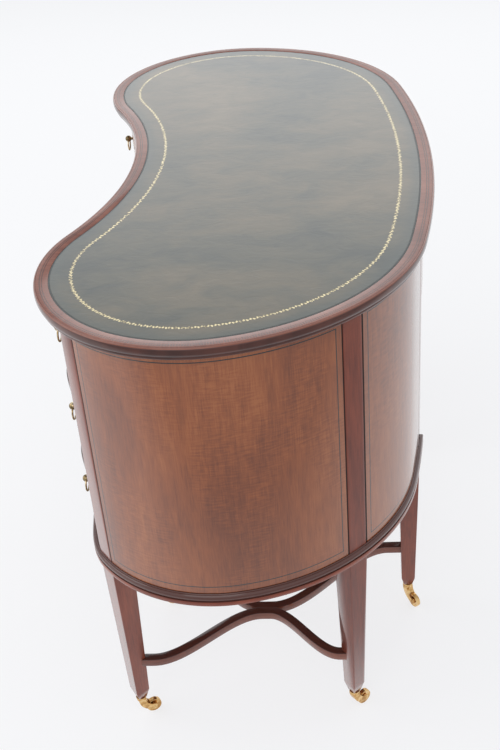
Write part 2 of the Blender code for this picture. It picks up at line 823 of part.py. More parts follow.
def drawer_solids(bay):
    """A drawer's boards: curved front, two sides, back and bottom."""
    face = DRAWER_INSET
    inner = DRAWER_INSET + FRONT_THICKNESS
    front = curve_points(bay.left_end(face), bay.right_end(face), face)
    front += curve_points(bay.left_end(inner), bay.right_end(inner), inner)[::-1]
    boards = [board(front, bay.floor + DRAWER_GAP, bay.ceiling - DRAWER_GAP)]

    def in_front(across):
        lap = inner - DOVETAIL_LAP
        return plan_point(front_station(across, lap), lap)

    low = bay.floor + JOINT_GAP
    high = bay.ceiling - WALL_DROP
    left, right = bay.box_sides
    for outer, hand in ((left, 1), (right, -1)):
        lining = outer + hand * DRAWER_WALL
        side = [
            in_front(outer), in_front(lining),
            Vector((lining, bay.back)), Vector((outer, bay.back)),
        ]
        boards.append(board(side, low, high))
    left_groove = left + DRAWER_WALL - GROOVE_DEPTH
    right_groove = right - DRAWER_WALL + GROOVE_DEPTH
    back = bay.back - BACK_REVEAL
    floor_low = low + BOTTOM_LIFT
    seat = inner - GROOVE_DEPTH
    bottom = curve_points(front_station(left_groove, seat), front_station(right_groove, seat), seat)
    end = back - DRAWER_WALL / 2
    bottom += [Vector((right_groove, end)), Vector((left_groove, end))]
    boards.append(board(bottom, floor_low, floor_low + DRAWER_BOTTOM))
    boards.append(block(
        (left_groove, back - DRAWER_WALL, floor_low + GLUE_LAP), (right_groove, back, high - BACK_DROP)))
    return boards


def pull_post_mesh():
    """A turned rose, stud and knob, with the knob bored across for the ring."""
    centre = PULL_REACH - KNOB_RADIUS
    waist = math.sqrt(KNOB_RADIUS ** 2 - STUD_RADIUS ** 2)
    start = math.atan2(waist, STUD_RADIUS)
    knob = []
    for step in range(KNOB_STEPS + 1):
        angle = QUARTER_TURN - (QUARTER_TURN + start) * step / KNOB_STEPS
        knob.append((KNOB_RADIUS * math.cos(angle), centre + KNOB_RADIUS * math.sin(angle)))
    knob[0] = (0, PULL_REACH)
    profile = knob + [
        (STUD_RADIUS, ROSE_NECK_HEIGHT), (ROSE_STEP_RADIUS, ROSE_THICKNESS),
        (ROSE_RADIUS, ROSE_EDGE), (ROSE_RADIUS, 0), (0, 0),
    ]
    sag = RING_RADIUS - math.sqrt(RING_RADIUS ** 2 - KNOB_RADIUS ** 2)
    bore = RING_WIRE + sag + RING_PLAY
    across = Matrix.Translation((0, 0, centre)) @ Matrix.Rotation(QUARTER_TURN, 4, "Y")
    drill = rod(bore, 2 * (KNOB_RADIUS + CUT_OVERRUN), PULL_STEPS, across)
    post = worked(turned(profile, PULL_STEPS), [("DIFFERENCE", drill)])
    post.transform(Matrix.Rotation(QUARTER_TURN, 4, "X"))
    return post


def pull_ring_mesh():
    """The ring, hanging from the origin in the plane of the drawer's face."""
    bpy.ops.mesh.primitive_torus_add(
        major_radius=RING_RADIUS, minor_radius=RING_WIRE,
        major_segments=RING_STEPS, minor_segments=WIRE_STEPS)
    pattern = bpy.context.active_object
    mesh = pattern.data.copy()
    bpy.data.objects.remove(pattern)
    mesh.transform(Matrix.Rotation(QUARTER_TURN, 4, "X"))
    mesh.transform(Matrix.Translation((0, 0, -RING_RADIUS)))
    return mesh


def add_drawer(name, bay, hand):
    """A drawer with its ring pull. hand is -1 for the mirror image on the left."""
    boards = glued(drawer_solids(bay))
    middle = 0 if bay.left_end(0) < 0 else LOBE_CENTRE.x
    face = plan_point(front_station(middle, DRAWER_INSET), DRAWER_INSET)
    origin = Vector((middle, face.y, bay.floor))
    boards.transform(Matrix.Translation(-origin))
    if hand < 0:
        boards = mirrored(boards)
        origin.x = -origin.x
    drawer = add_piece(name, boards, DRAWER_LINING, origin)
    height = bay.floor + BAY_HEIGHT / 2 - PULL_DROP
    foot = Vector((origin.x, origin.y - JOINT_GAP, height))
    add_piece(name + "_pull_post", POST_MESH.copy(), BRASS, foot, drawer, rounded=True)
    hinge = foot - Vector((0, PULL_REACH - KNOB_RADIUS, 0))
    add_piece(name + "_pull_ring", RING_MESH.copy(), BRASS, hinge, drawer, rounded=True)


def drawers():
    """Three drawers in each pedestal and one over the kneehole."""
    bays = (
        pedestal_bay("bottom_drawer", BASE_TOP, LOWER_RAIL),
        pedestal_bay("middle_drawer", LOWER_RAIL + RAIL_THICKNESS, UPPER_RAIL),
        pedestal_bay("top_drawer", TOP_BAY_FLOOR, CASE_TOP),
    )
    for bay in bays:
        add_drawer("right_" + bay.name, bay, 1)
        add_drawer("left_" + bay.name, bay, -1)
    add_drawer("centre_drawer", centre_bay("centre_drawer", TOP_BAY_FLOOR, CASE_TOP), 1)


def horn_outline(plate_low):
    """The side view of a castor's horn, as (trail, height) points."""
    start = Vector((0, plate_low))
    dip = Vector((0, HORN_DIP))
    axle = Vector((CASTOR_TRAIL, AXLE_HEIGHT))
    front, back = [], []
    for step in range(HORN_STEPS):
        share = step / HORN_STEPS
        point = start * (1 - share) ** 2 + dip * 2 * share * (1 - share) + axle * share ** 2
        run = ((dip - start) * (1 - share) + (axle - dip) * share).normalized()
        half = HORN_TOP_HALF + (HORN_NECK_HALF - HORN_TOP_HALF) * share
        across = Vector((-run.y, run.x)) * half
        front.append(point - across)
        back.append(point + across)
    run = (axle - dip).normalized()
    heading = math.atan2(run.y, run.x)
    boss = []
    for step in range(BOSS_STEPS + 1):
        angle = heading - QUARTER_TURN + 2 * QUARTER_TURN * step / BOSS_STEPS
        boss.append(axle + HORN_BOSS_RADIUS * Vector((math.cos(angle), math.sin(angle))))
    return front + boss + back[::-1]


def fork_mesh():
    """A castor's stem and plate, its horn, the two cheeks and the axle."""
    cup_low = CASTOR_HEIGHT - CUP_THICKNESS
    plate_low = cup_low - PLATE_THICKNESS
    slot = WHEEL_WIDTH + 2 * WHEEL_PLAY
    width = slot + 2 * CHEEK_THICKNESS
    side = board(horn_outline(plate_low + GLUE_LAP), -width / 2, width / 2)
    upright = Matrix(((0, 0, 1, 0), (1, 0, 0, 0), (0, 1, 0, 0), (0, 0, 0, 1)))
    side.transform(upright)
    stem_top = CASTOR_HEIGHT + STEM_LENGTH
    plate = turned([
        (0, stem_top), (STEM_RADIUS, stem_top), (STEM_RADIUS, CASTOR_HEIGHT),
        (CUP_RADIUS, CASTOR_HEIGHT), (CUP_RADIUS, cup_low), (PLATE_RADIUS, cup_low),
        (PLATE_RADIUS, plate_low), (0, plate_low)], CASTOR_STEPS)
    at_axle = Matrix.Translation((0, CASTOR_TRAIL, AXLE_HEIGHT)) @ Matrix.Rotation(QUARTER_TURN, 4, "Y")
    wheel_space = rod(WHEEL_RADIUS + WHEEL_ROOM, slot, WHEEL_SPACE_STEPS, at_axle)
    axle = rod(AXLE_RADIUS, slot + CHEEK_THICKNESS, AXLE_STEPS, at_axle)
    return worked(side, [("DIFFERENCE", wheel_space), ("UNION", plate), ("UNION", axle)])


def wheel_mesh():
    """A castor's wheel, crowned and dished, about its own axle."""
    half = WHEEL_WIDTH / 2
    bore = AXLE_RADIUS + JOINT_GAP
    rim = WHEEL_RADIUS - WHEEL_CROWN
    side = half - WHEEL_RECESS
    profile = [
        (bore, half), (WHEEL_HUB_RADIUS, half), (rim, side), (WHEEL_RADIUS, side - WHEEL_CROWN),
        (WHEEL_RADIUS, WHEEL_CROWN - side), (rim, -side), (WHEEL_HUB_RADIUS, -half), (bore, -half),
    ]
    wheel = turned(profile, CASTOR_STEPS, closed=True)
    wheel.transform(Matrix.Rotation(QUARTER_TURN, 4, "Y"))
    return wheel


def add_castor(name, pivot, trail, fork, wheel):
    """A fork at its swivel, and its wheel at the end of the trail."""
    carrier = add_piece(name + "_castor_fork", fork, BRASS, pivot, rounded=True)
    add_piece(name + "_castor_wheel", wheel, BRASS, pivot + trail, carrier, rounded=True)


def castors():
    """A swivelling fork and its wheel under each of the eight legs."""
    for leg in LEGS:
        heading = CASTOR_HEADINGS[leg.name]
        turn = Matrix.Rotation(heading - QUARTER_TURN, 4, "Z")
        trail = turn @ Vector((0, CASTOR_TRAIL, AXLE_HEIGHT))
        fork, wheel = fork_mesh(), wheel_mesh()
        fork.transform(turn)
        wheel.transform(turn)
        pivot = leg.centre.to_3d()
        add_castor("right_" + leg.name, pivot, trail, fork, wheel)
        add_castor("left_" + leg.name, FLIP @ pivot, FLIP @ trail, mirrored(fork), mirrored(wheel))


clear_scene()
DESK = new_collection("kidney_desk")
CUTTERS = new_collection("cutters")
STAND = bpy.data.objects.new("desk", None)
DESK.objects.link(STAND)
POST_MESH = pull_post_mesh()
RING_MESH = pull_ring_mesh()

top_board()
crossband()
leather_skiver()
legs()
panels()
base_board()
drawer_carcase()
centre_drawer_frame()
back_apron()
stretchers()
drawers()
castors()
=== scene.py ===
"""The looks of a kidney-shaped pedestal writing desk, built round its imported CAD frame.

Every curved piece follows the outline of the top. A place on that outline is its run, which
is the distance along it from the middle of the kneehole, positive on the right half, and
its inset from the edge.
"""
import math

import bmesh
import bpy
from mathutils import Matrix, Vector


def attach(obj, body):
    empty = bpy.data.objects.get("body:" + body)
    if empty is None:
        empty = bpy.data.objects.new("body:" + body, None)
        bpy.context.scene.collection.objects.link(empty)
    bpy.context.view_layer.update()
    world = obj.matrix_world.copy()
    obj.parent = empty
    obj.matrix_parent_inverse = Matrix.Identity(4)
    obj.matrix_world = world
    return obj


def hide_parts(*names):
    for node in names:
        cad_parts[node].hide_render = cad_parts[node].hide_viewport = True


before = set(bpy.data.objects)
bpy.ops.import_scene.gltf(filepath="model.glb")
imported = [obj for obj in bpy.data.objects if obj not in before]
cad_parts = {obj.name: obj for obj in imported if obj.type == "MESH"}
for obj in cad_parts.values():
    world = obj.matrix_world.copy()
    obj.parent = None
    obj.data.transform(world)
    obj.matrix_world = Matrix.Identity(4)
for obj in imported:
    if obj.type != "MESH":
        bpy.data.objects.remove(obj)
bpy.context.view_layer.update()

# The top and its plan curves
TOP_WIDTH = 1.160
TOP_DEPTH = 0.566
DESK_HEIGHT = 0.765
TOP_THICKNESS = 0.0175
LOBE_RADIUS = 0.225
BACK_RADIUS = 1.625
KNEE_DEPTH = 0.084
SHOULDER_ANGLE = math.radians(9.25)
QUARTER_TURN = math.radians(90)

# Crossband and writing leather
RIM_WIDTH = 0.003
REBATE_DEPTH = 0.0012
BAND_WIDTH = 0.0170
BAND_THICKNESS = 0.0009
LEATHER_THICKNESS = 0.0007
LEATHER_RING_INSETS = (0.028, 0.040, 0.060, 0.090)
BAND_LINE_SHARE = 0.42
BAND_LINE_OFFSET = 0.0015
BAND_LINE_WIDTH = 0.0010
BAND_DOT_PERIOD = 0.0036
BLIND_OFFSET = 0.0014
BLIND_WIDTH = 0.0014
BLIND_CORE = 0.0008
BLIND_PERIOD = 0.0030
GILT_INSET = 0.0511
GILT_SWING = 0.0009
GILT_PERIOD = 0.0105
GILT_LAG = 0.9
GILT_LEAF = 0.0028
GILT_GAP = 0.0006
GILT_EDGE = 0.0002
GILT_HALO = 0.0012
BORDER_START = 0.006
BORDER_END = 0.026

# Cases
CASE_INSET = 0.016
PANEL_THICKNESS = 0.011
PANEL_SOFTENING = 0.0004
PANEL_EDGE_ANGLE = math.radians(60)
KNEE_FACE = 0.200
BASE_BOTTOM = 0.332
BASE_THICKNESS = 0.020
BASE_PROUD = 0.0055
SIDE_BLEND = 0.095
KNEE_BLEND = 0.028
DRAWER_SETBACK = 0.011
RAIL_THICKNESS = 0.012
RAIL_PROUD = 0.0035
RAIL_SKIN = 0.0005
RAIL_BACK = 0.006
NOSE_DEPTH = 0.0045
NOSE_EASE = 0.0002

# Legs and stretchers
LEG_WIDTH = 0.034
SQUARING_HEIGHT = 0.012
ANKLE_WIDTH = 0.023
ANKLE_HEIGHT = 0.060
FOOT_WIDTH = 0.014
LEG_EDGE_ANGLE = math.radians(30)
FRONT_LEG_ANGLE = math.radians(-52.6)
REAR_LEG_ANGLE = math.radians(44.2)
REAR_LEG_TURN = math.radians(42)
STRETCHER_SIZE = 0.014
STRETCHER_TOP = 0.130
STRETCHER_STEPS = 60
STRETCHER_SOFTENING = 0.0008
STRETCHER_EDGE_ANGLE = math.radians(50)
MEETING_ACROSS_SHARE = 0.594
MEETING_ALONG_SHARE = 0.52
BOW_START_SHARE = 0.04
BOW_END_SHARE = 0.85

# Drawers
DRAWER_GAP = 0.0008
FRONT_THICKNESS = 0.018
DRAWER_WALL = 0.008
DRAWER_BOTTOM = 0.005
GROOVE_DEPTH = 0.004
BACK_REVEAL = 0.004
BACK_LIFT = 0.004
BACK_DROP = 0.003
BOTTOM_LIFT = 0.003
WALL_DROP = 0.006
DRAWER_BACK_GAP = 0.012
DOVETAIL_LAP = 0.010
CENTRE_DRAWER_LENGTH = 0.300
PULL_DROP = 0.015

# Ring pulls
ROSE_RADIUS = 0.008
STUD_RADIUS = 0.0026
KNOB_RADIUS = 0.0060
PULL_REACH = 0.017
RING_RADIUS = 0.0110
RING_WIRE = 0.0014
KNOB_END_SHARE = 0.97
KNOB_POINTS = 14
RING_POINTS = 48
WIRE_POINTS = 14

# Castors
CASTOR_HEIGHT = 0.041
CASTOR_TRAIL = 0.0185
CASTOR_HEADINGS = {
    "outer_front": math.radians(116),
    "outer_back": math.radians(132),
    "knee_back": math.radians(35),
    "knee_front": math.radians(90),
}
WHEEL_RADIUS = 0.0125
WHEEL_WIDTH = 0.009
WHEEL_PLAY = 0.0004
WHEEL_ROOM = 0.0012
CHEEK_THICKNESS = 0.0018
HORN_TOP = 0.0360
HORN_DIP = 0.0180
HORN_TOP_HALF = 0.0060
HORN_NECK_HALF = 0.0048
HORN_BOSS_RADIUS = 0.0056
HORN_END_SHARE = 0.95
HORN_SOFTENING = 0.0010
HORN_POINTS = 12
BOSS_POINTS = 9
RIVET_POINTS = 20
WHEEL_POINTS = 48

# Fits and fineness
JOINT_GAP = 0.0003
GLUE_LAP = 0.001
WELD_DISTANCE = JOINT_GAP / 100
SEARCH_REACH = 0.08
SOLVER_STEPS = 50
POINT_SPACING = 0.006
POST_POINTS = 9
ROUND_POINTS = 40
EDGE_SOFTENING = 0.0005
EDGE_ANGLE = math.radians(40)
SMOOTH_ANGLE = math.radians(32)

# Studio and camera
CAMERA_PLACE = (1.742, 0.135, 1.482)
CAMERA_YAW = math.radians(95.606)
CAMERA_PITCH = math.radians(57.072)
CAMERA_ROLL = math.radians(-4.793)
CAMERA_LENS = 55.33
CAMERA_SENSOR = 36
CAMERA_REACH = 100
SKY_COLOUR = (0.94, 0.965, 1.0, 1)
HORIZON_STRENGTH = 1.0
ZENITH_STRENGTH = 0.65
SKY_FADE_HEIGHT = 1.0
FLOOR_SIZE = 40
FLOOR_COLOUR = (0.88, 0.885, 0.90, 1)
FLOOR_GLOW_COLOUR = (0.985, 0.988, 1.0, 1)
FLOOR_GLOW_SHARE = 0.72
SWEEP_END = 0.65
SWEEP_FADE = 0.60
SWEEP_SLANT = 0.38
BEYOND_SWEEP = 0.30
LAMPS = (
    ("far_window", (-3.4, 0.2, 1.9), (0, 0, 0.7), (4.2, 1.6), 20),
    ("front_window", (0.6, -3.2, 2.4), (0.2, 0, 0.5), (3.0, 2.4), 34),
    ("near_softbox", (3.2, -0.5, 3.0), (0.3, 0, 0.4), (2.4, 2.4), 20),
)

# Heights worked out from the sizes above
TOP_UNDER = DESK_HEIGHT - TOP_THICKNESS
CASE_TOP = TOP_UNDER - JOINT_GAP
BASE_TOP = BASE_BOTTOM + BASE_THICKNESS
BAY_HEIGHT = (CASE_TOP - BASE_TOP - 2 * RAIL_THICKNESS) / 3
LOWER_RAIL = BASE_TOP + BAY_HEIGHT
UPPER_RAIL = LOWER_RAIL + RAIL_THICKNESS + BAY_HEIGHT
TOP_BAY_FLOOR = UPPER_RAIL + RAIL_THICKNESS
DRAWER_INSET = CASE_INSET + DRAWER_SETBACK
RAIL_INSET = DRAWER_INSET - RAIL_PROUD
PANEL_INNER = CASE_INSET + PANEL_THICKNESS
KNEE_POST_EDGE = KNEE_FACE + LEG_WIDTH
HALF_LEG = LEG_WIDTH / 2


# Plan of the desk


def plan_arcs():
    """The right half of the outline as arcs: knee, lobe, shoulder and back.

    Each arc is (centre, radius, start angle, end angle, side), where side is -1 for the
    hollow knee arc, whose radius grows with the inset.
    """
    lobe = Vector((TOP_WIDTH / 2 - LOBE_RADIUS, LOBE_RADIUS - TOP_DEPTH / 2))
    back = Vector((0, TOP_DEPTH / 2 - BACK_RADIUS))
    turn = Vector((math.cos(SHOULDER_ANGLE), math.sin(SHOULDER_ANGLE)))
    apart = lobe - back
    slack = BACK_RADIUS - LOBE_RADIUS
    growth = (apart.length_squared - slack ** 2) / (2 * (apart.dot(turn) - slack))
    shoulder = lobe - growth * turn
    rise = KNEE_DEPTH - LOBE_RADIUS
    knee_radius = (lobe.x ** 2 + rise ** 2 - LOBE_RADIUS ** 2) / (2 * KNEE_DEPTH)
    knee = Vector((0, KNEE_DEPTH - TOP_DEPTH / 2 - knee_radius))
    knee_angle = math.atan2(lobe.y - knee.y, lobe.x)
    back_angle = math.atan2(shoulder.y - back.y, shoulder.x)
    return (
        (knee, knee_radius, QUARTER_TURN, knee_angle, -1),
        (lobe, LOBE_RADIUS, knee_angle - 2 * QUARTER_TURN, SHOULDER_ANGLE, 1),
        (shoulder, LOBE_RADIUS + growth, SHOULDER_ANGLE, back_angle, 1),
        (back, BACK_RADIUS, back_angle, QUARTER_TURN, 1),
    )


ARCS = plan_arcs()
LENGTHS = [radius * abs(end - start) for _, radius, start, end, _ in ARCS]
HALF_RUN = sum(LENGTHS)
LOBE_CENTRE = ARCS[1][0]


def plan_at(run, inset):
    """The plan point at a run along the outline and an inset from it."""
    left = abs(run)
    arc = 0
    while arc < len(ARCS) - 1 and left > LENGTHS[arc]:
        left -= LENGTHS[arc]
        arc += 1
    centre, radius, start, end, side = ARCS[arc]
    angle = start + (end - start) * left / LENGTHS[arc]
    reach = radius - side * inset
    across = centre.x + reach * math.cos(angle)
    return Vector((math.copysign(across, run), centre.y + reach * math.sin(angle)))


def plan_place(x, y):
    """The (run, inset) of a plan point near the outline."""
    best = None
    done = 0
    for (centre, radius, start, end, side), length in zip(ARCS, LENGTHS):
        across = abs(x) - centre.x
        angle = math.atan2(y - centre.y, across)
        share = (angle - start) / (end - start)
        held = min(max(share, 0), 1)
        inset = side * (radius - math.hypot(across, y - centre.y))
        miss = abs(share - held) * length + abs(inset)
        if best is None or miss < best[0]:
            best = (miss, done + held * length, inset)
        done += length
    return math.copysign(best[1], x), best[2]


def arc_run(arc, angle):
    """The run at an angle of one of the arcs."""
    start, end = ARCS[arc][2], ARCS[arc][3]
    return sum(LENGTHS[:arc]) + LENGTHS[arc] * (angle - start) / (end - start)


def solve(function, low, high):
    """Where a function changes its sign between two values."""
    low_sign = function(low) > 0
    for _ in range(SOLVER_STEPS):
        middle = (low + high) / 2
        if (function(middle) > 0) == low_sign:
            low = middle
        else:
            high = middle
    return (low + high) / 2


LOBE_END = LENGTHS[0] + LENGTHS[1]


def front_run(across, inset):
    """The run on the front line at a given x."""
    if across == 0:
        return 0
    run = solve(lambda r: plan_at(r, inset).x - abs(across), 0, LOBE_END)
    return math.copysign(run, across)


def back_run(across, inset):
    """The run on the back line at a given x."""
    return solve(lambda r: plan_at(r, inset).x - across, LOBE_END, HALF_RUN)


def spaced(start, end, count):
    """Evenly spaced values from start to end, both ends among them."""
    return [start + (end - start) * step / (count - 1) for step in range(count)]


def run_count(start, end):
    """How many points a stretch of the outline gets."""
    return max(int(abs(end - start) / POINT_SPACING), 2) + 1


class Leg:
    """One leg of the right pedestal: its place on the case line and the way it faces."""

    def __init__(self, name, run, outward, centre):
        self.name = name
        self.run = run
        self.outward = outward
        self.along = Vector((-outward.y, outward.x))
        self.centre = centre

    def edge_run(self, offset, inset):
        """The run where the outline passes a line beside the leg."""
        reach = math.copysign(SEARCH_REACH, offset)

        def beyond(run):
            return (plan_at(run, inset) - self.centre).dot(self.along) - offset

        return solve(beyond, self.run, self.run + reach)

    def corner(self, out_side, along_side, half):
        """A corner of a square about the leg's centre."""
        return self.centre + self.outward * out_side * half + self.along * along_side * half


def case_leg(name, arc, place_angle, turn_angle):
    """A leg on the curved outside of the case."""
    run = arc_run(arc, place_angle)
    outward = Vector((math.cos(turn_angle), math.sin(turn_angle)))
    return Leg(name, run, outward, plan_at(run, CASE_INSET) - outward * HALF_LEG)


def kneehole_leg(name, front):
    """A leg at the side of the kneehole."""
    across = KNEE_FACE + HALF_LEG
    run = front_run(across, CASE_INSET) if front else back_run(across, CASE_INSET)
    outward = Vector((0, -1)) if front else Vector((0, 1))
    return Leg(name, run, outward, plan_at(run, CASE_INSET) - outward * HALF_LEG)


OUTER_FRONT = case_leg("outer_front", 1, FRONT_LEG_ANGLE, FRONT_LEG_ANGLE)
OUTER_BACK = case_leg("outer_back", 2, REAR_LEG_ANGLE, REAR_LEG_TURN)
KNEE_BACK = kneehole_leg("knee_back", False)
KNEE_FRONT = kneehole_leg("knee_front", True)
LEGS = (OUTER_FRONT, OUTER_BACK, KNEE_BACK, KNEE_FRONT)


# Modelling


def deselect():
    """Leave nothing selected."""
    bpy.ops.object.select_all(action="DESELECT")


def pick(piece):
    """Make one piece the only selected and active object."""
    deselect()
    piece.select_set(True)
    bpy.context.view_layer.objects.active = piece


def set_ring(piece, ring, level):
    """Put the points of one level of a stacked piece in their places."""
    shape = bmesh.from_edit_mesh(piece.data)
    shape.verts.ensure_lookup_table()
    first = level * len(ring)
    for offset, place in enumerate(ring):
        shape.verts[first + offset].co = place
    bmesh.update_edit_mesh(piece.data)


def select_points(piece, first, count):
    """Select a stretch of points by their numbers, and nothing else."""
    bpy.ops.mesh.select_all(action="DESELECT")
    shape = bmesh.from_edit_mesh(piece.data)
    shape.verts.ensure_lookup_table()
    for number in range(first, first + count):
        shape.verts[number].select = True
    shape.select_flush(True)
    bmesh.update_edit_mesh(piece.data)


def turn_faces_out():
    """Turn the faces of the piece in edit mode outwards, and leave edit mode."""
    bpy.ops.mesh.select_all(action="SELECT")
    bpy.ops.mesh.normals_make_consistent(inside=False)
    bpy.ops.object.mode_set(mode="OBJECT")


def stacked(name, rings, closed=False):
    """A solid drawn up from ring to ring, by extruding a circle laid on the first ring."""
    count = len(rings[0])
    deselect()
    bpy.ops.mesh.primitive_circle_add(vertices=count, fill_type="NOTHING")
    piece = bpy.context.active_object
    piece.name = name
    piece.data.name = name
    bpy.ops.object.mode_set(mode="EDIT")
    bpy.ops.mesh.select_mode(type="VERT")
    bpy.ops.mesh.select_all(action="SELECT")
    set_ring(piece, rings[0], 0)
    levels = rings[1:] + ([rings[0]] if closed else [])
    for level, ring in enumerate(levels, 1):
        bpy.ops.mesh.extrude_region_move()
        set_ring(piece, ring, level)
    if closed:
        bpy.ops.mesh.select_all(action="SELECT")
        bpy.ops.mesh.remove_doubles(threshold=WELD_DISTANCE)
    else:
        bpy.ops.mesh.edge_face_add()
        select_points(piece, 0, count)
        bpy.ops.mesh.edge_face_add()
    turn_faces_out()
    return piece


def lifted(points, height):
    """Plan points raised to a height."""
    return [Vector((point.x, point.y, height)) for point in points]


def soften(piece, width=EDGE_SOFTENING, segments=2, angle=EDGE_ANGLE):
    """Round a piece's edges with a small bevel."""
    pick(piece)
    bevel = piece.modifiers.new("softened", "BEVEL")
    bevel.width = width
    bevel.segments = segments
    bevel.limit_method = "ANGLE"
    bevel.angle_limit = angle
    bpy.ops.object.modifier_apply(modifier=bevel.name)
    return piece


def cut(piece, tools):
    """Cut tools out of a piece, and remove the tools."""
    for tool in tools:
        pick(piece)
        change = piece.modifiers.new("cut", "BOOLEAN")
        change.operation = "DIFFERENCE"
        change.solver = "EXACT"
        change.object = tool
        bpy.ops.object.modifier_apply(modifier=change.name)
        bpy.data.objects.remove(tool)
    return piece


def plank(name, low, high):
    """A straight board between two corners, with its edges eased."""
    size = Vector(high) - Vector(low)
    deselect()
    bpy.ops.mesh.primitive_cube_add(size=1, location=(Vector(low) + Vector(high)) / 2)
    piece = bpy.context.active_object
    piece.name = name
    piece.scale = size
    bpy.ops.object.transform_apply(location=True, rotation=True, scale=True)
    return soften(piece)


def joined(name, pieces):
    """Several pieces made one."""
    deselect()
    for piece in pieces:
        piece.select_set(True)
    bpy.context.view_layer.objects.active = pieces[0]
    bpy.ops.object.join()
    pieces[0].name = name
    return pieces[0]


def copied(piece, name):
    """A copy of a piece with a mesh of its own."""
    twin = piece.copy()
    twin.data = piece.data.copy()
    twin.name = name
    bpy.context.scene.collection.objects.link(twin)
    return twin


def mirrored(piece, name):
    """The left-hand twin of a piece."""
    twin = copied(piece, name)
    twin.data.transform(Matrix.Scale(-1, 4, Vector((1, 0, 0))))
    pick(twin)
    bpy.ops.object.mode_set(mode="EDIT")
    turn_faces_out()
    return twin


def smooth_over(piece):
    """Shade a piece smooth, apart from its sharper edges."""
    pick(piece)
    bpy.ops.object.shade_smooth_by_angle(angle=SMOOTH_ANGLE)


def lay_pattern(piece, rule):
    """Give a piece a UV map in metres, from a rule for a point and its face's centre."""
    for layer in list(piece.data.uv_layers):
        piece.data.uv_layers.remove(layer)
    layer = piece.data.uv_layers.new(name="grain")
    for face in piece.data.polygons:
        for corner in face.loop_indices:
            point = piece.data.vertices[piece.data.loops[corner].vertex_index].co
            layer.data[corner].uv = rule(point, face.center)


def run_and_inset(point, centre):
    """The pattern of a flat band: along the outline, and in from it."""
    run, inset = plan_place(point.x, point.y)
    return math.copysign(run, centre.x), inset


def run_and_height(point, centre):
    """The pattern of an upright panel: along the outline, and up."""
    run, _ = plan_place(point.x, point.y)
    return math.copysign(run, centre.x), point.z


def finish(piece, look, body, stands_for=()):
    """Give a finished piece its material, its body and the nodes it stands for."""
    piece.data.materials.clear()
    piece.data.materials.append(look)
    smooth_over(piece)
    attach(piece, body)
    if stands_for:
        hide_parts(*stands_for)


# Materials


FRENCH_POLISH = 1.8
LEG_POLISH = 3.1
BAND_POLISH = 1.65

# How often each marking of the wood repeats in a metre, across the grain and along it
FIGURE = (9, 3.4)
STREAKS = (90, 11)
FIBRES = (620, 34)
RIPPLES = (50, 380)
RIPPLED_PATCHES = (11, 6)
STAINS = (60, 8)
PORES = (1500, 60)
PORE_DEPTH = 0.00003

# Grain along one axis: 1 across it and 0 along it
GRAIN_ALONG_X = (0, 1, 1)
GRAIN_ALONG_Y = (1, 0, 1)
GRAIN_ALONG_Z = (1, 1, 0)

# How often each marking of the leather repeats in a metre
LEATHER_CLOUDS = (5, 4, 4)
LEATHER_MOTTLE = (26, 15, 15)
LEATHER_CREASES = (60, 34, 34)
LEATHER_GRAIN = (900, 900, 900)
GILT_WEAR = (260, 260, 260)
LEATHER_RELIEF = 0.00010
# Size of the brass mottle, which is partly patina and partly painted reflection of the dark wood
BRASS_PATINA_AND_REFLECTION = (110, 110, 110)


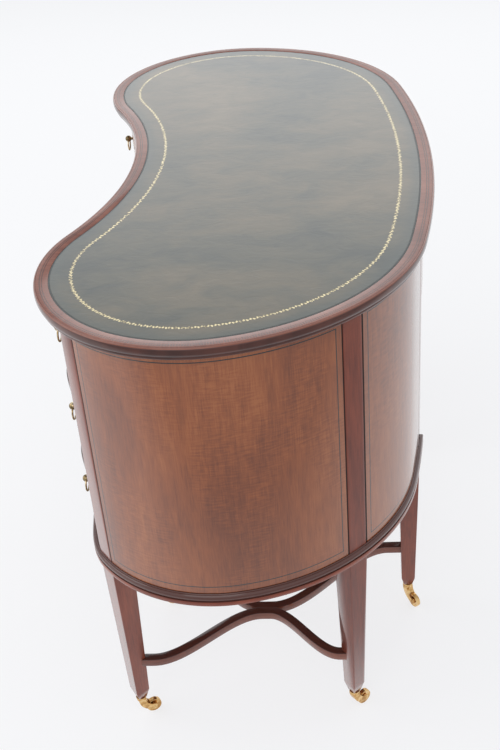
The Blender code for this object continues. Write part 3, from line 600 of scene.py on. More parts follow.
class Look:
    """A node material being put together."""

    def __init__(self, name, roughness, metallic=0.0, coat=0.0, coat_roughness=0.1, body_gloss=0.5,
                 polish=1.5):
        self.material = bpy.data.materials.new(name)
        self.material.use_nodes = True
        self.tree = self.material.node_tree
        self.shader = self.tree.nodes["Principled BSDF"]
        self.fill(self.shader, {
            "Roughness": roughness, "Metallic": metallic, "Coat Weight": coat,
            "Coat Roughness": coat_roughness, "Coat IOR": polish, "Specular IOR Level": body_gloss})
        self.coordinates = self.node("ShaderNodeTexCoord").outputs

    def fill(self, made, values):
        """Link the inputs of a node to sockets, or give them values."""
        for key, value in values.items():
            if isinstance(value, bpy.types.NodeSocket):
                self.tree.links.new(value, made.inputs[key])
            else:
                made.inputs[key].default_value = value

    def node(self, kind, values=None, **settings):
        """A new node with its settings and its inputs."""
        made = self.tree.nodes.new(kind)
        for key, value in settings.items():
            setattr(made, key, value)
        self.fill(made, values or {})
        return made

    def surface(self, key, value):
        """Link or set one input of the surface."""
        self.fill(self.shader, {key: value})

    def split(self, source):
        """The coordinates of a point, one by one."""
        return self.node("ShaderNodeSeparateXYZ", {0: self.coordinates[source]}).outputs

    def math(self, operation, *values):
        """Arithmetic on up to three values."""
        return self.node("ShaderNodeMath", dict(enumerate(values)), operation=operation).outputs[0]

    def gap(self, first, second):
        """How far apart two values are."""
        return self.math("ABSOLUTE", self.math("SUBTRACT", first, second))

    def beat(self, run, period, lag=0.0):
        """A wave between -1 and 1 that repeats in every period."""
        return self.math("SINE", self.math("MULTIPLY_ADD", run, 4 * QUARTER_TURN / period, lag))

    def noise(self, source, scale, detail=2.0, distortion=0.0, roughness=0.5):
        """Cloudy variation between 0 and 1, on coordinates scaled along each axis."""
        place = self.node("ShaderNodeMapping", {"Vector": self.coordinates[source], "Scale": scale})
        made = self.node("ShaderNodeTexNoise", {
            "Vector": place.outputs[0], "Scale": 1.0, "Detail": detail, "Distortion": distortion,
            "Roughness": roughness})
        return made.outputs["Fac"]

    def ramp(self, value, low, high, low_out=0.0, high_out=1.0, shape="SMOOTHSTEP"):
        """A value passing from one level to another between two bounds."""
        made = self.node("ShaderNodeMapRange", {
            "Value": value, "From Min": low, "From Max": high, "To Min": low_out,
            "To Max": high_out}, interpolation_type=shape)
        return made.outputs[0]

    def tones(self, value, stops):
        """A colour picked from (place, colour) stops."""
        made = self.node("ShaderNodeValToRGB", {0: value})
        band = made.color_ramp
        while len(band.elements) < len(stops):
            band.elements.new(0.5)
        for element, (place, colour) in zip(band.elements, stops):
            element.position = place
            element.color = (*colour, 1)
        return made.outputs["Color"]

    def mix(self, share, *colours):
        """One colour passing into another."""
        first, second = [(*each, 1) if isinstance(each, tuple) else each for each in colours]
        made = self.node("ShaderNodeMix", {"Factor": share, 6: first, 7: second}, data_type="RGBA")
        return made.outputs[2]

    def bump(self, height, distance):
        """Raise and sink the surface."""
        made = self.node("ShaderNodeBump", {"Strength": 1.0, "Distance": distance, "Height": height})
        self.surface("Normal", made.outputs[0])


def grained(look, source, axes, tones, ripple):
    """The colour of mahogany, with its pores sunk.

    axes has a 1 for each axis across the grain and a 0 for the one along it.
    """

    def marking(scales, **form):
        across, along = scales
        return look.noise(source, tuple(across if axis else along for axis in axes), **form)

    figure = marking(FIGURE, detail=4, distortion=0.6)
    streak = marking(STREAKS, detail=5, distortion=0.4, roughness=0.65)
    fibre = marking(FIBRES, detail=3)
    wave = marking(RIPPLES, distortion=0.3)
    waved = look.ramp(marking(RIPPLED_PATCHES), 0.38, 0.56)
    pores = marking(PORES, detail=1)
    strength = look.math("MULTIPLY_ADD", figure, 0.46, look.math("MULTIPLY", streak, 0.26))
    strength = look.math("MULTIPLY_ADD", fibre, 0.28, strength)
    swell = look.math("MULTIPLY", look.math("SUBTRACT", wave, 0.5), look.math("MULTIPLY", waved, ripple))
    wood = look.tones(look.math("ADD", strength, swell), tones)
    stain = look.ramp(marking(STAINS, detail=3, roughness=0.6), 0.54, 0.72, 0.0, 0.35)
    wood = look.mix(stain, wood, tones[0][1])
    pits = look.ramp(pores, 0.60, 0.74)
    look.bump(look.math("SUBTRACT", look.math("MULTIPLY", fibre, 0.25), pits), PORE_DEPTH)
    return look.mix(look.math("MULTIPLY", pits, 0.30), wood, tones[0][1])


MAHOGANY_TONES = (
    (0.36, (0.150, 0.037, 0.012)), (0.46, (0.222, 0.057, 0.016)),
    (0.55, (0.285, 0.077, 0.020)), (0.64, (0.355, 0.108, 0.030)))
LEG_TONES = (
    (0.36, (0.128, 0.024, 0.012)), (0.46, (0.192, 0.038, 0.017)),
    (0.54, (0.238, 0.050, 0.022)), (0.64, (0.300, 0.073, 0.034)))
STRETCHER_TONES = (
    (0.36, (0.090, 0.022, 0.013)), (0.46, (0.145, 0.038, 0.021)),
    (0.54, (0.185, 0.050, 0.026)), (0.64, (0.235, 0.070, 0.038)))
DARK_TONES = (
    (0.36, (0.030, 0.009, 0.007)), (0.46, (0.058, 0.017, 0.012)),
    (0.54, (0.082, 0.024, 0.016)), (0.64, (0.115, 0.036, 0.024)))
LINING_TONES = (
    (0.30, (0.300, 0.150, 0.068)), (0.46, (0.400, 0.215, 0.105)),
    (0.58, (0.460, 0.260, 0.135)), (0.72, (0.540, 0.320, 0.175)))
BAND_TONES = (
    (0.34, (0.130, 0.036, 0.020)), (0.46, (0.195, 0.057, 0.033)),
    (0.56, (0.245, 0.077, 0.045)), (0.68, (0.310, 0.110, 0.068)))
LEATHER_TONES = (
    (0.38, (0.050, 0.058, 0.048)), (0.46, (0.086, 0.084, 0.060)),
    (0.54, (0.122, 0.104, 0.068)), (0.64, (0.165, 0.132, 0.084)))
# The dark stops of the brass tones are partly patina and partly painted reflection of the dark wood
CASTOR_TONES = ((0.36, (0.46, 0.25, 0.09)), (0.50, (0.70, 0.44, 0.18)), (0.64, (0.84, 0.60, 0.31)))
PULL_TONES = ((0.38, (0.17, 0.12, 0.06)), (0.50, (0.42, 0.31, 0.16)), (0.62, (0.70, 0.58, 0.38)))
EDGE_UPPER = (0.230, 0.068, 0.036)
BASE_UPPER = (0.066, 0.027, 0.022)
# Painted shade: the darker top faces of the stretchers, which lie in the shadow of the cases
STRETCHER_TOP_PAINTED_SHADE = (0.040, 0.015, 0.013)
BAND_DOTS = (0.050, 0.022, 0.018)
LEATHER_BORDER = (0.048, 0.066, 0.060)
BLIND_TOOLING = (0.008, 0.014, 0.016)
GILT_STAIN = (0.200, 0.130, 0.035)
GILT = (0.93, 0.79, 0.44)
STRINGING = (0.022, 0.010, 0.008)
STRING_WIDTH = 0.0020
STRING_INSET = 0.0120
JOINT_WIDTH = 0.0028
TONE_BLEND = 0.0004
EDGE_TONE_DROP = 0.0010
BASE_TONE_LIFT = 0.0076
STRETCHER_SHADE_DROP = 0.0012


def panel_look(name, start, end, low, high, joint_width=0.0):
    """Figured veneer with dark stringing, and with dark joints at its ends if they have a width."""
    look = Look(name, 0.38, coat=1.0, coat_roughness=0.08, body_gloss=0.15, polish=FRENCH_POLISH)
    wood = grained(look, "UV", GRAIN_ALONG_Y, MAHOGANY_TONES, 0.30)
    run, height, _ = look.split("UV")
    middle = (start + end) / 2
    half_run = abs(end - start) / 2 - STRING_INSET
    half_height = (high - low) / 2 - STRING_INSET
    beside = look.gap(look.math("ABSOLUTE", run), middle)
    above = look.gap(height, (low + high) / 2)
    off = look.math("MAXIMUM", look.math("SUBTRACT", beside, half_run),
                    look.math("SUBTRACT", above, half_height))
    line = look.ramp(look.math("ABSOLUTE", off), STRING_WIDTH / 2, STRING_WIDTH / 3)
    if joint_width:
        border = abs(end - start) / 2 - joint_width
        joint = look.ramp(beside, border, border + joint_width / 4)
        line = look.math("MAXIMUM", line, joint)
        look.surface("Coat Weight", look.math("SUBTRACT", 1.0, joint))
    look.surface("Base Color", look.mix(line, wood, STRINGING))
    return look.material


def leg_look():
    """Polished legs, whose gloss shows where they are seen aslant."""
    look = Look("leg_mahogany", 0.38, coat=1.0, coat_roughness=0.08, body_gloss=0.8, polish=LEG_POLISH)
    look.surface("Base Color", grained(look, "Object", GRAIN_ALONG_Z, LEG_TONES, 0.06))
    aslant = look.node("ShaderNodeLayerWeight").outputs["Facing"]
    look.surface("Coat Weight", look.ramp(aslant, 0.52, 0.68))
    return look.material


def plain_wood(name, tones, roughness, coat):
    """Polished mahogany without inlay."""
    look = Look(name, roughness, coat=coat, coat_roughness=0.08, body_gloss=0.15, polish=FRENCH_POLISH)
    look.surface("Base Color", grained(look, "Object", GRAIN_ALONG_Y, tones, 0.06))
    return look.material


def tone_above_height_look(name, source, axes, tones, turn_height, share, upper):
    """Mahogany whose part above a height is of another tone. On the stretchers that upper tone is a
    painted shade darkening their top faces under the cases.
    """
    look = Look(name, 0.38, coat=1.0, coat_roughness=0.08, body_gloss=0.15)
    wood = grained(look, source, axes, tones, 0.05)
    height = look.split("Object")[2]
    above = look.ramp(height, turn_height - TONE_BLEND, turn_height + TONE_BLEND)
    look.surface("Base Color", look.mix(look.math("MULTIPLY", above, share), wood, upper))
    return look.material


def crossband_look():
    """Veneer laid across the edge, with a dotted line of stringing along its middle."""
    look = Look("crossband", 0.40, coat=0.8, coat_roughness=0.10, body_gloss=0.0, polish=BAND_POLISH)
    wood = grained(look, "UV", GRAIN_ALONG_Y, BAND_TONES, 0.02)
    run, inset, _ = look.split("UV")
    middle = RIM_WIDTH + JOINT_GAP + BAND_WIDTH * BAND_LINE_SHARE
    beside = look.gap(look.gap(inset, middle), BAND_LINE_OFFSET)
    line = look.ramp(beside, BAND_LINE_WIDTH, BAND_LINE_WIDTH * 0.6)
    dots = look.ramp(look.beat(run, BAND_DOT_PERIOD), -0.3, 0.3, 0.30, 1.0)
    look.surface("Base Color", look.mix(look.math("MULTIPLY", line, dots), wood, BAND_DOTS))
    return look.material


def leather_look():
    """Worn olive hide with a blind line near its edge and a gilt running scroll."""
    look = Look("writing_leather", 0.42, coat=0.60, coat_roughness=0.26)
    clouds = look.noise("Object", LEATHER_CLOUDS, detail=5, distortion=0.4)
    mottle = look.noise("Object", LEATHER_MOTTLE, detail=6, distortion=0.7, roughness=0.62)
    grain = look.noise("Object", LEATHER_GRAIN, detail=3)
    tone = look.math("MULTIPLY_ADD", clouds, 0.68, look.math("MULTIPLY", mottle, 0.32))
    hide = look.tones(tone, LEATHER_TONES)
    run, inset, _ = look.split("UV")
    border = look.ramp(inset, GILT_INSET - BORDER_START, GILT_INSET - BORDER_END, 0.0, 0.60)
    hide = look.mix(border, hide, LEATHER_BORDER)
    vine = look.math("MULTIPLY_ADD", look.beat(run, GILT_PERIOD), GILT_SWING, GILT_INSET)
    leaf = look.math("ABSOLUTE", look.beat(run, GILT_PERIOD, GILT_LAG))
    width = look.math("MULTIPLY_ADD", leaf, GILT_LEAF, -GILT_GAP)
    beyond = look.math("SUBTRACT", look.gap(inset, vine), width)
    worn = look.ramp(look.noise("Object", GILT_WEAR), 0.38, 0.50)
    gilt = look.math("MULTIPLY", look.ramp(beyond, GILT_EDGE, -GILT_EDGE), worn)
    edge = RIM_WIDTH + BAND_WIDTH + 2 * JOINT_GAP
    beside = look.gap(inset, edge + BLIND_OFFSET)
    stamped = look.ramp(look.beat(run, BLIND_PERIOD), -0.6, 0.2, 0.5, 1.0)
    blind = look.math("MULTIPLY", look.ramp(beside, BLIND_WIDTH, BLIND_CORE), stamped)
    hide = look.mix(look.math("MULTIPLY", blind, 0.90), hide, BLIND_TOOLING)
    halo = look.ramp(beyond, GILT_HALO, 0.0)
    hide = look.mix(look.math("MULTIPLY", halo, 0.5), hide, GILT_STAIN)
    look.surface("Base Color", look.mix(gilt, hide, GILT))
    look.surface("Metallic", look.math("MULTIPLY", gilt, 0.30))
    look.surface("Coat Weight", look.math("MULTIPLY_ADD", blind, -0.60, 0.60))
    creases = look.noise("Object", LEATHER_CREASES, detail=5, distortion=1.6)
    relief = look.math("MULTIPLY_ADD", creases, 4.0, look.math("MULTIPLY", grain, 0.3))
    look.bump(look.math("SUBTRACT", relief, blind), LEATHER_RELIEF)
    return look.material


def brass_look(name, tones):
    """Old brass with random darker, rougher patches: partly patina, partly painted reflection of the
    dark wood.
    """
    look = Look(name, 0.20, metallic=1.0)
    patina_and_reflection = look.noise("Object", BRASS_PATINA_AND_REFLECTION, detail=3)
    look.surface("Base Color", look.tones(patina_and_reflection, tones))
    look.surface("Roughness", look.ramp(patina_and_reflection, 0.3, 0.7, 0.28, 0.12))
    return look.material


# Boards, panels, legs and rails


def rounded(points, rounds=2):
    """A chain of points with its corners cut, so that it runs smoothly between its ends."""
    for _ in range(rounds):
        cut_points = [points[0]]
        for before, after in zip(points, points[1:]):
            cut_points.append(tuple(b * 0.75 + a * 0.25 for b, a in zip(before, after)))
            cut_points.append(tuple(b * 0.25 + a * 0.75 for b, a in zip(before, after)))
        cut_points.append(points[-1])
        points = cut_points
    return points


# Profiles of the top and the base, as (inset, height) points
TOP_BEAD = rounded([
    (0.0062, 0.0000), (0.0036, 0.0000), (0.0030, 0.0024), (0.0034, 0.0046), (0.0042, 0.0052)])
TOP_ROUND = rounded([
    (0.0011, 0.0062), (0.0002, 0.0084), (0.0000, 0.0108), (0.0001, 0.0136),
    (0.0006, 0.0161), (0.0014, 0.0175), (0.0022, 0.0175)])
TOP_PROFILE = [(0.0600, 0.0), (0.0066, 0.0), *TOP_BEAD, (0.0042, 0.0060), (0.0014, 0.0060), *TOP_ROUND]
BASE_BEAD = rounded([
    (0.0016, 0.0100), (0.0002, 0.0112), (0.0000, 0.0140), (0.0008, 0.0168),
    (0.0024, 0.0184), (0.0026, 0.0186)])
BASE_PROFILE = [
    (0.0100, 0.0000), (0.0012, 0.0000), (0.0003, 0.0006), (0.0000, 0.0014),
    (0.0000, 0.0070), (0.0003, 0.0078), (0.0020, 0.0082), (0.0020, 0.0096), *BASE_BEAD,
    (0.0040, 0.0188), (0.0046, 0.0194), (0.0048, BASE_THICKNESS)]


def whole_ring(inset, height):
    """The whole outline at an inset, as points at one height."""
    count = 2 * run_count(0, HALF_RUN)
    runs = spaced(-HALF_RUN, HALF_RUN, count)[:-1]
    return lifted([plan_at(run, inset) for run in runs], height)


def top_pieces():
    """The moulded board, the crossband and the leather."""
    board = stacked("top_moulded_board", [
        whole_ring(inset, TOP_UNDER + height) for inset, height in TOP_PROFILE
    ] + [whole_ring(RIM_WIDTH, DESK_HEIGHT), whole_ring(RIM_WIDTH, DESK_HEIGHT - REBATE_DEPTH)])
    lay_pattern(board, run_and_inset)
    finish(board, EDGE_WOOD, "desk", ["top_board"])

    floor = DESK_HEIGHT - REBATE_DEPTH + JOINT_GAP
    ease = BAND_THICKNESS / 3
    outer = RIM_WIDTH + JOINT_GAP
    inner = outer + BAND_WIDTH
    top = floor + BAND_THICKNESS
    band = stacked("veneer_crossband", [
        whole_ring(outer, floor), whole_ring(outer, top - ease), whole_ring(outer + ease, top),
        whole_ring(inner - 2 * ease, top), whole_ring(inner, top - ease), whole_ring(inner, floor),
    ], closed=True)
    lay_pattern(band, run_and_inset)
    finish(band, crossband_look(), "desk", ["crossband"])

    edge = inner + JOINT_GAP
    top = floor + LEATHER_THICKNESS
    hide = stacked("leather_writing_surface", [
        whole_ring(edge, floor), whole_ring(edge, top - ease), whole_ring(edge + ease, top),
        *[whole_ring(inset, top) for inset in LEATHER_RING_INSETS],
    ])
    lay_pattern(hide, run_and_inset)
    finish(hide, leather_look(), "desk", ["leather_skiver"])


def pair(piece, name, look, node):
    """Finish a piece of the right pedestal and its mirror image on the left."""
    twin = mirrored(piece, "left_" + name)
    piece.name = "right_" + name
    finish(piece, look, "desk", ["right_" + node] if node else ())
    finish(twin, look, "desk", ["left_" + node] if node else ())


def strip_plan(start, end, outer, inner, count):
    """The plan of a curved strip between two insets, from a rule for the run of each end."""
    front, rear = [
        [plan_at(run, inset) for run in spaced(start(inset), end(inset), count)]
        for inset in (outer, inner)]
    return front + rear[::-1]


def panel(name, node, before, after):
    """A curved panel between two legs, with its stringing."""
    offset = HALF_LEG + JOINT_GAP

    def start(inset):
        return before.edge_run(offset, inset)

    def end(inset):
        return after.edge_run(-offset, inset)

    ends = (start(CASE_INSET), end(CASE_INSET))
    outline = strip_plan(start, end, CASE_INSET, PANEL_INNER, run_count(*ends))
    low, high = BASE_TOP + JOINT_GAP, CASE_TOP
    piece = stacked(name, [lifted(outline, low), lifted(outline, high)])
    soften(piece, PANEL_SOFTENING, 1, PANEL_EDGE_ANGLE)
    lay_pattern(piece, run_and_height)
    look = panel_look(name, *ends, low, high, JOINT_WIDTH)
    pair(piece, name, look, node)


def leg_rings(leg, clearance=0.0):
    """The sections of a leg from its foot to its top, or of the room that it needs."""
    half = HALF_LEG + clearance
    face = CASE_INSET - clearance
    runs = spaced(leg.edge_run(-half, face), leg.edge_run(half, face), POST_POINTS)
    post = [plan_at(run, face) for run in runs]
    post += [leg.corner(-1, 1, half), leg.corner(-1, -1, half)]

    def square(width):
        reach = width / 2 + clearance
        first, last = leg.corner(1, -1, reach), leg.corner(1, 1, reach)
        outer = [first.lerp(last, share) for share in spaced(0, 1, POST_POINTS)]
        return outer + [leg.corner(-1, 1, reach), leg.corner(-1, -1, reach)]

    knee = BASE_BOTTOM - SQUARING_HEIGHT
    return [
        lifted(square(FOOT_WIDTH), CASTOR_HEIGHT + JOINT_GAP),
        lifted(square(ANKLE_WIDTH), ANKLE_HEIGHT),
        lifted(square(LEG_WIDTH), knee),
        lifted(post, BASE_BOTTOM),
        lifted(post, CASE_TOP + clearance),
    ]


def legs():
    """The four legs of each pedestal."""
    for leg in LEGS:
        piece = stacked(leg.name + "_post", leg_rings(leg))
        soften(piece, EDGE_SOFTENING, 2, LEG_EDGE_ANGLE)
        pair(piece, leg.name + "_post", LEG_WOOD, leg.name + "_leg")


def step_back(run):
    """How far the base moulding has stepped back from the case line to the drawer line."""
    if run >= OUTER_FRONT.run:
        return 0
    across = plan_at(run, CASE_INSET).x
    side = plan_at(OUTER_FRONT.run, CASE_INSET).x
    return soft_step((across - KNEE_POST_EDGE) / KNEE_BLEND) * soft_step((side - across) / SIDE_BLEND)


def soft_step(share):
    """A soft step from 0 to 1."""
    held = min(max(share, 0), 1)
    return held * held * (3 - 2 * held)


def pedestal_ring(inset_at, knee_side, height, count):
    """A closed ring round a pedestal: front, end and back, then the kneehole side."""
    start = solve(lambda r: plan_at(r, inset_at(r)).x - knee_side, 0, OUTER_FRONT.run)
    end = back_run(knee_side, inset_at(HALF_RUN))
    runs = spaced(start, end, count)
    return lifted([plan_at(run, inset_at(run)) for run in runs], height)


def leg_rooms():
    """Cutters for the four legs of the right pedestal."""
    return [stacked("leg_room", leg_rings(leg, JOINT_GAP)) for leg in LEGS]


def base_boards():
    """The moulded boards under the cases."""
    nose = CASE_INSET - BASE_PROUD
    count = run_count(front_run(KNEE_FACE, CASE_INSET), back_run(KNEE_FACE, CASE_INSET))
    rings = []
    for depth, height in BASE_PROFILE:

        def inset_at(run, depth=depth):
            return nose + depth + DRAWER_SETBACK * step_back(run)

        side = KNEE_FACE - BASE_PROUD + depth
        rings.append(pedestal_ring(inset_at, side, BASE_BOTTOM + height, count))
    piece = cut(stacked("base_moulding", rings), leg_rooms())
    lay_pattern(piece, run_and_inset)
    pair(piece, "base_moulding", BASE_WOOD, "base_board")


def nose(name, start_run, end_run, low):
    """The rounded front of a dividing rail."""
    back = RAIL_INSET + RAIL_BACK
    face = RAIL_INSET - RAIL_SKIN
    high = low + RAIL_THICKNESS
    count = run_count(start_run(face), end_run(face))
    rings = []
    for depth, height in rounded([
            (NOSE_DEPTH, low), (NOSE_EASE, low), (0, (low + high) / 2), (NOSE_EASE, high),
            (NOSE_DEPTH, high)]):
        rings.append(lifted(strip_plan(start_run, end_run, face + depth, back, count), height))
    piece = stacked(name, rings)
    lay_pattern(piece, run_and_height)
    return piece


def rail_noses():
    """The fronts of the rails between the drawers."""
    side = KNEE_POST_EDGE + JOINT_GAP

    def start(inset):
        return front_run(side, inset)

    def end(inset):
        return OUTER_FRONT.edge_run(-HALF_LEG - JOINT_GAP, inset)

    for name, low in (("lower_rail_nose", LOWER_RAIL), ("upper_rail_nose", UPPER_RAIL)):
        pair(nose(name, start, end, low), name, EDGE_WOOD, None)
    reach = KNEE_FACE - 2 * JOINT_GAP
    middle = nose(
        "kneehole_rail_nose", lambda inset: -front_run(reach, inset),
        lambda inset: front_run(reach, inset), UPPER_RAIL)
    finish(middle, EDGE_WOOD, "desk")


def apron():
    """The curved board over the kneehole at the back."""
    across = KNEE_FACE - JOINT_GAP
    right = back_run(across, CASE_INSET)
    count = run_count(right, HALF_RUN)
    outline = []
    for inset in (CASE_INSET, PANEL_INNER):
        side = [plan_at(run, inset) for run in spaced(back_run(across, inset), HALF_RUN, count)]
        whole = side + [Vector((-point.x, point.y)) for point in side[-2::-1]]
        outline += whole if inset == CASE_INSET else whole[::-1]
    piece = stacked("kneehole_apron", [lifted(outline, UPPER_RAIL), lifted(outline, CASE_TOP)])
    soften(piece, PANEL_SOFTENING, 1, PANEL_EDGE_ANGLE)
    lay_pattern(piece, run_and_height)
    look = panel_look("kneehole_apron", right, HALF_RUN + (HALF_RUN - right), UPPER_RAIL, CASE_TOP)
    finish(piece, look, "desk", ["back_apron"])


def bow(outer_front, outer_back, meeting, side):
    """The plan of one stretcher, which swings in from two legs to the meeting place."""
    middle = meeting.x + side * (STRETCHER_SIZE - GLUE_LAP) / 2
    centre = []
    for share in spaced(-1, 1, STRETCHER_STEPS + 1):
        leg = outer_back if share > 0 else outer_front
        swing = soft_step((abs(share) - BOW_START_SHARE) / (BOW_END_SHARE - BOW_START_SHARE))
        along = meeting.y + (leg.centre.y - meeting.y) * abs(share)
        centre.append(Vector((middle + (leg.centre.x - middle) * swing, along)))
    outer, inner = [], []
    for index, point in enumerate(centre):
        before = centre[max(index - 1, 0)]
        after = centre[min(index + 1, STRETCHER_STEPS)]
        run = (after - before).normalized()
        reach = Vector((run.y, -run.x)) * STRETCHER_SIZE / 2
        outer.append(point + reach)
        inner.append(point - reach)
    return outer + inner[::-1]


def stretchers():
    """The bowed stretchers of each pedestal."""
    outer_x = (OUTER_FRONT.centre.x + OUTER_BACK.centre.x) / 2
    knee_x = (KNEE_FRONT.centre.x + KNEE_BACK.centre.x) / 2
    front_y = (OUTER_FRONT.centre.y + KNEE_FRONT.centre.y) / 2
    back_y = (OUTER_BACK.centre.y + KNEE_BACK.centre.y) / 2
    meeting = Vector((
        knee_x + (outer_x - knee_x) * MEETING_ACROSS_SHARE,
        front_y + (back_y - front_y) * MEETING_ALONG_SHARE))
    low = STRETCHER_TOP - STRETCHER_SIZE
    bows = []
    for front, back, side in ((OUTER_FRONT, OUTER_BACK, 1), (KNEE_FRONT, KNEE_BACK, -1)):
        plan = bow(front, back, meeting, side)
        piece = stacked("bow", [lifted(plan, low), lifted(plan, STRETCHER_TOP)])
        bows.append(soften(piece, STRETCHER_SOFTENING, 2, STRETCHER_EDGE_ANGLE))
    pair(joined("bowed_stretchers", bows), "bowed_stretchers", STRETCHER_WOOD, "stretchers")


# Drawers and their ring pulls


def drawer_pieces(name, left_end, right_end, sides, back, floor, ceiling):
    """A drawer's veneered front and its box."""
    face = DRAWER_INSET
    inner = DRAWER_INSET + FRONT_THICKNESS
    count = run_count(left_end(face), right_end(face))
    outline = strip_plan(left_end, right_end, face, inner, count)
    low, high = floor + DRAWER_GAP, ceiling - DRAWER_GAP
    front = stacked(name + "_front", [lifted(outline, low), lifted(outline, high)])
    soften(front, EDGE_SOFTENING, 2, PANEL_EDGE_ANGLE)
    lay_pattern(front, run_and_height)

    wall_low = floor + JOINT_GAP
    wall_high = ceiling - WALL_DROP
    left, right = sides
    boards = []
    for outer, hand in ((left, 1), (right, -1)):
        start = plan_at(front_run(outer, inner), inner).y - DOVETAIL_LAP / 2
        edges = sorted((outer, outer + hand * DRAWER_WALL))
        boards.append(plank("side", (edges[0], start, wall_low), (edges[1], back, wall_high)))
    back_face = back - BACK_REVEAL
    boards.append(plank(
        "back", (left + DRAWER_WALL, back_face - DRAWER_WALL, wall_low + BACK_LIFT),
        (right - DRAWER_WALL, back_face, wall_high - BACK_DROP)))
    seat = inner - GROOVE_DEPTH
    left_groove, right_groove = left + GROOVE_DEPTH, right - GROOVE_DEPTH
    stop = back_face - DRAWER_WALL / 2
    ends = (front_run(left_groove, seat), front_run(right_groove, seat))
    plan = [plan_at(run, seat) for run in spaced(*ends, count)]
    plan += [Vector((right_groove, stop)), Vector((left_groove, stop))]
    low = wall_low + BOTTOM_LIFT
    boards.append(stacked("bottom", [lifted(plan, low), lifted(plan, low + DRAWER_BOTTOM)]))
    box = joined(name + "_box", boards)
    return front, box


# Profile of the rose, as (radius, height) points
ROSE_PROFILE = rounded([
    (ROSE_RADIUS, 0), (ROSE_RADIUS, 0.0009), (0.0062, 0.0014), (0.0052, 0.0013),
    (0.0044, 0.0022), (0.0028, 0.0030), (STUD_RADIUS * 0.85, 0.0045)])


def pull_pieces():
    """The turned post and the ring of a pull, about the foot of its rose."""
    centre = PULL_REACH - KNOB_RADIUS
    waist = math.sqrt(KNOB_RADIUS ** 2 - STUD_RADIUS ** 2)
    tip = math.atan2(waist, STUD_RADIUS)
    profile = list(ROSE_PROFILE)
    for angle in spaced(-tip, QUARTER_TURN * KNOB_END_SHARE, KNOB_POINTS):
        profile.append((KNOB_RADIUS * math.cos(angle), centre + KNOB_RADIUS * math.sin(angle)))
    post = stacked("post", [circle_ring(radius, height) for radius, height in profile])
    post.data.transform(Matrix.Rotation(QUARTER_TURN, 4, "X"))
    deselect()
    bpy.ops.mesh.primitive_torus_add(
        major_radius=RING_RADIUS, minor_radius=RING_WIRE, major_segments=RING_POINTS,
        minor_segments=WIRE_POINTS)
    ring = bpy.context.active_object
    ring.data.transform(Matrix.Rotation(QUARTER_TURN, 4, "X"))
    ring.data.transform(Matrix.Translation((0, 0, -RING_RADIUS)))
    return post, ring


def circle_ring(radius, height, points=ROUND_POINTS):
    """A level circle of points."""
    return [
        Vector((radius * math.cos(angle), radius * math.sin(angle), height))
        for angle in spaced(0, 4 * QUARTER_TURN, points + 1)[:-1]]


def add_drawer(name, bay, pull, left_hand=False):
    """Finish a drawer, or its mirror image, with its pull."""
    left_end, right_end, sides, back, floor, ceiling = bay
    ends = (left_end(DRAWER_INSET), right_end(DRAWER_INSET))
    centred = name == "centre_drawer"
    span = (-ends[1], ends[1]) if centred else ends
    look = panel_look(name + "_front", *span, floor + DRAWER_GAP, ceiling - DRAWER_GAP)
    front, box = drawer_pieces(name, left_end, right_end, sides, back, floor, ceiling)
    middle = 0 if centred else LOBE_CENTRE.x
    face = plan_at(front_run(middle, DRAWER_INSET), DRAWER_INSET)
    if left_hand:
        front_twin, box_twin = mirrored(front, name + "_front_twin"), mirrored(box, name + "_box_twin")
        bpy.data.objects.remove(front)
        bpy.data.objects.remove(box)
        front, box = front_twin, box_twin
        front.name, box.name = name + "_front", name + "_box"
        face.x = -face.x
    finish(front, look, name, [name])
    finish(box, LINING, name)
    foot = Vector((face.x, face.y - JOINT_GAP, floor + BAY_HEIGHT / 2 - PULL_DROP))
    post = copied(pull[0], name + "_rose_and_knob")
    post.data.transform(Matrix.Translation(foot))
    finish(post, PULL_BRASS, name, [name + "_pull_post"])
    ring = copied(pull[1], name + "_ring")
    ring.data.transform(Matrix.Translation(foot - Vector((0, PULL_REACH - KNOB_RADIUS, 0))))
    finish(ring, PULL_BRASS, name + "_pull_ring", [name + "_pull_ring"])


def drawers():
    """The seven drawers."""
    edge = KNEE_POST_EDGE + DRAWER_GAP
    offset = -HALF_LEG - DRAWER_GAP
    side = OUTER_FRONT.corner(-1, -1, HALF_LEG).x - DRAWER_GAP
    back = OUTER_BACK.corner(-1, -1, HALF_LEG).y - DRAWER_BACK_GAP
    pull = pull_pieces()
    floors = (
        ("bottom_drawer", BASE_TOP, LOWER_RAIL),
        ("middle_drawer", LOWER_RAIL + RAIL_THICKNESS, UPPER_RAIL),
        ("top_drawer", TOP_BAY_FLOOR, CASE_TOP))
    for name, floor, ceiling in floors:
        bay = (lambda inset: front_run(edge, inset), lambda inset: OUTER_FRONT.edge_run(offset, inset),
               (edge + JOINT_GAP, side), back, floor, ceiling)
        add_drawer("right_" + name, bay, pull)
        add_drawer("left_" + name, bay, pull, left_hand=True)
    edge_middle = KNEE_FACE - DRAWER_GAP
    front = plan_at(0, DRAWER_INSET).y
    bay = (lambda inset: -front_run(edge_middle, inset), lambda inset: front_run(edge_middle, inset),
           (JOINT_GAP - edge_middle, edge_middle - JOINT_GAP), front + CENTRE_DRAWER_LENGTH,
           TOP_BAY_FLOOR, CASE_TOP)
    add_drawer("centre_drawer", bay, pull)
    for piece in pull:
        bpy.data.objects.remove(piece)


# Castors


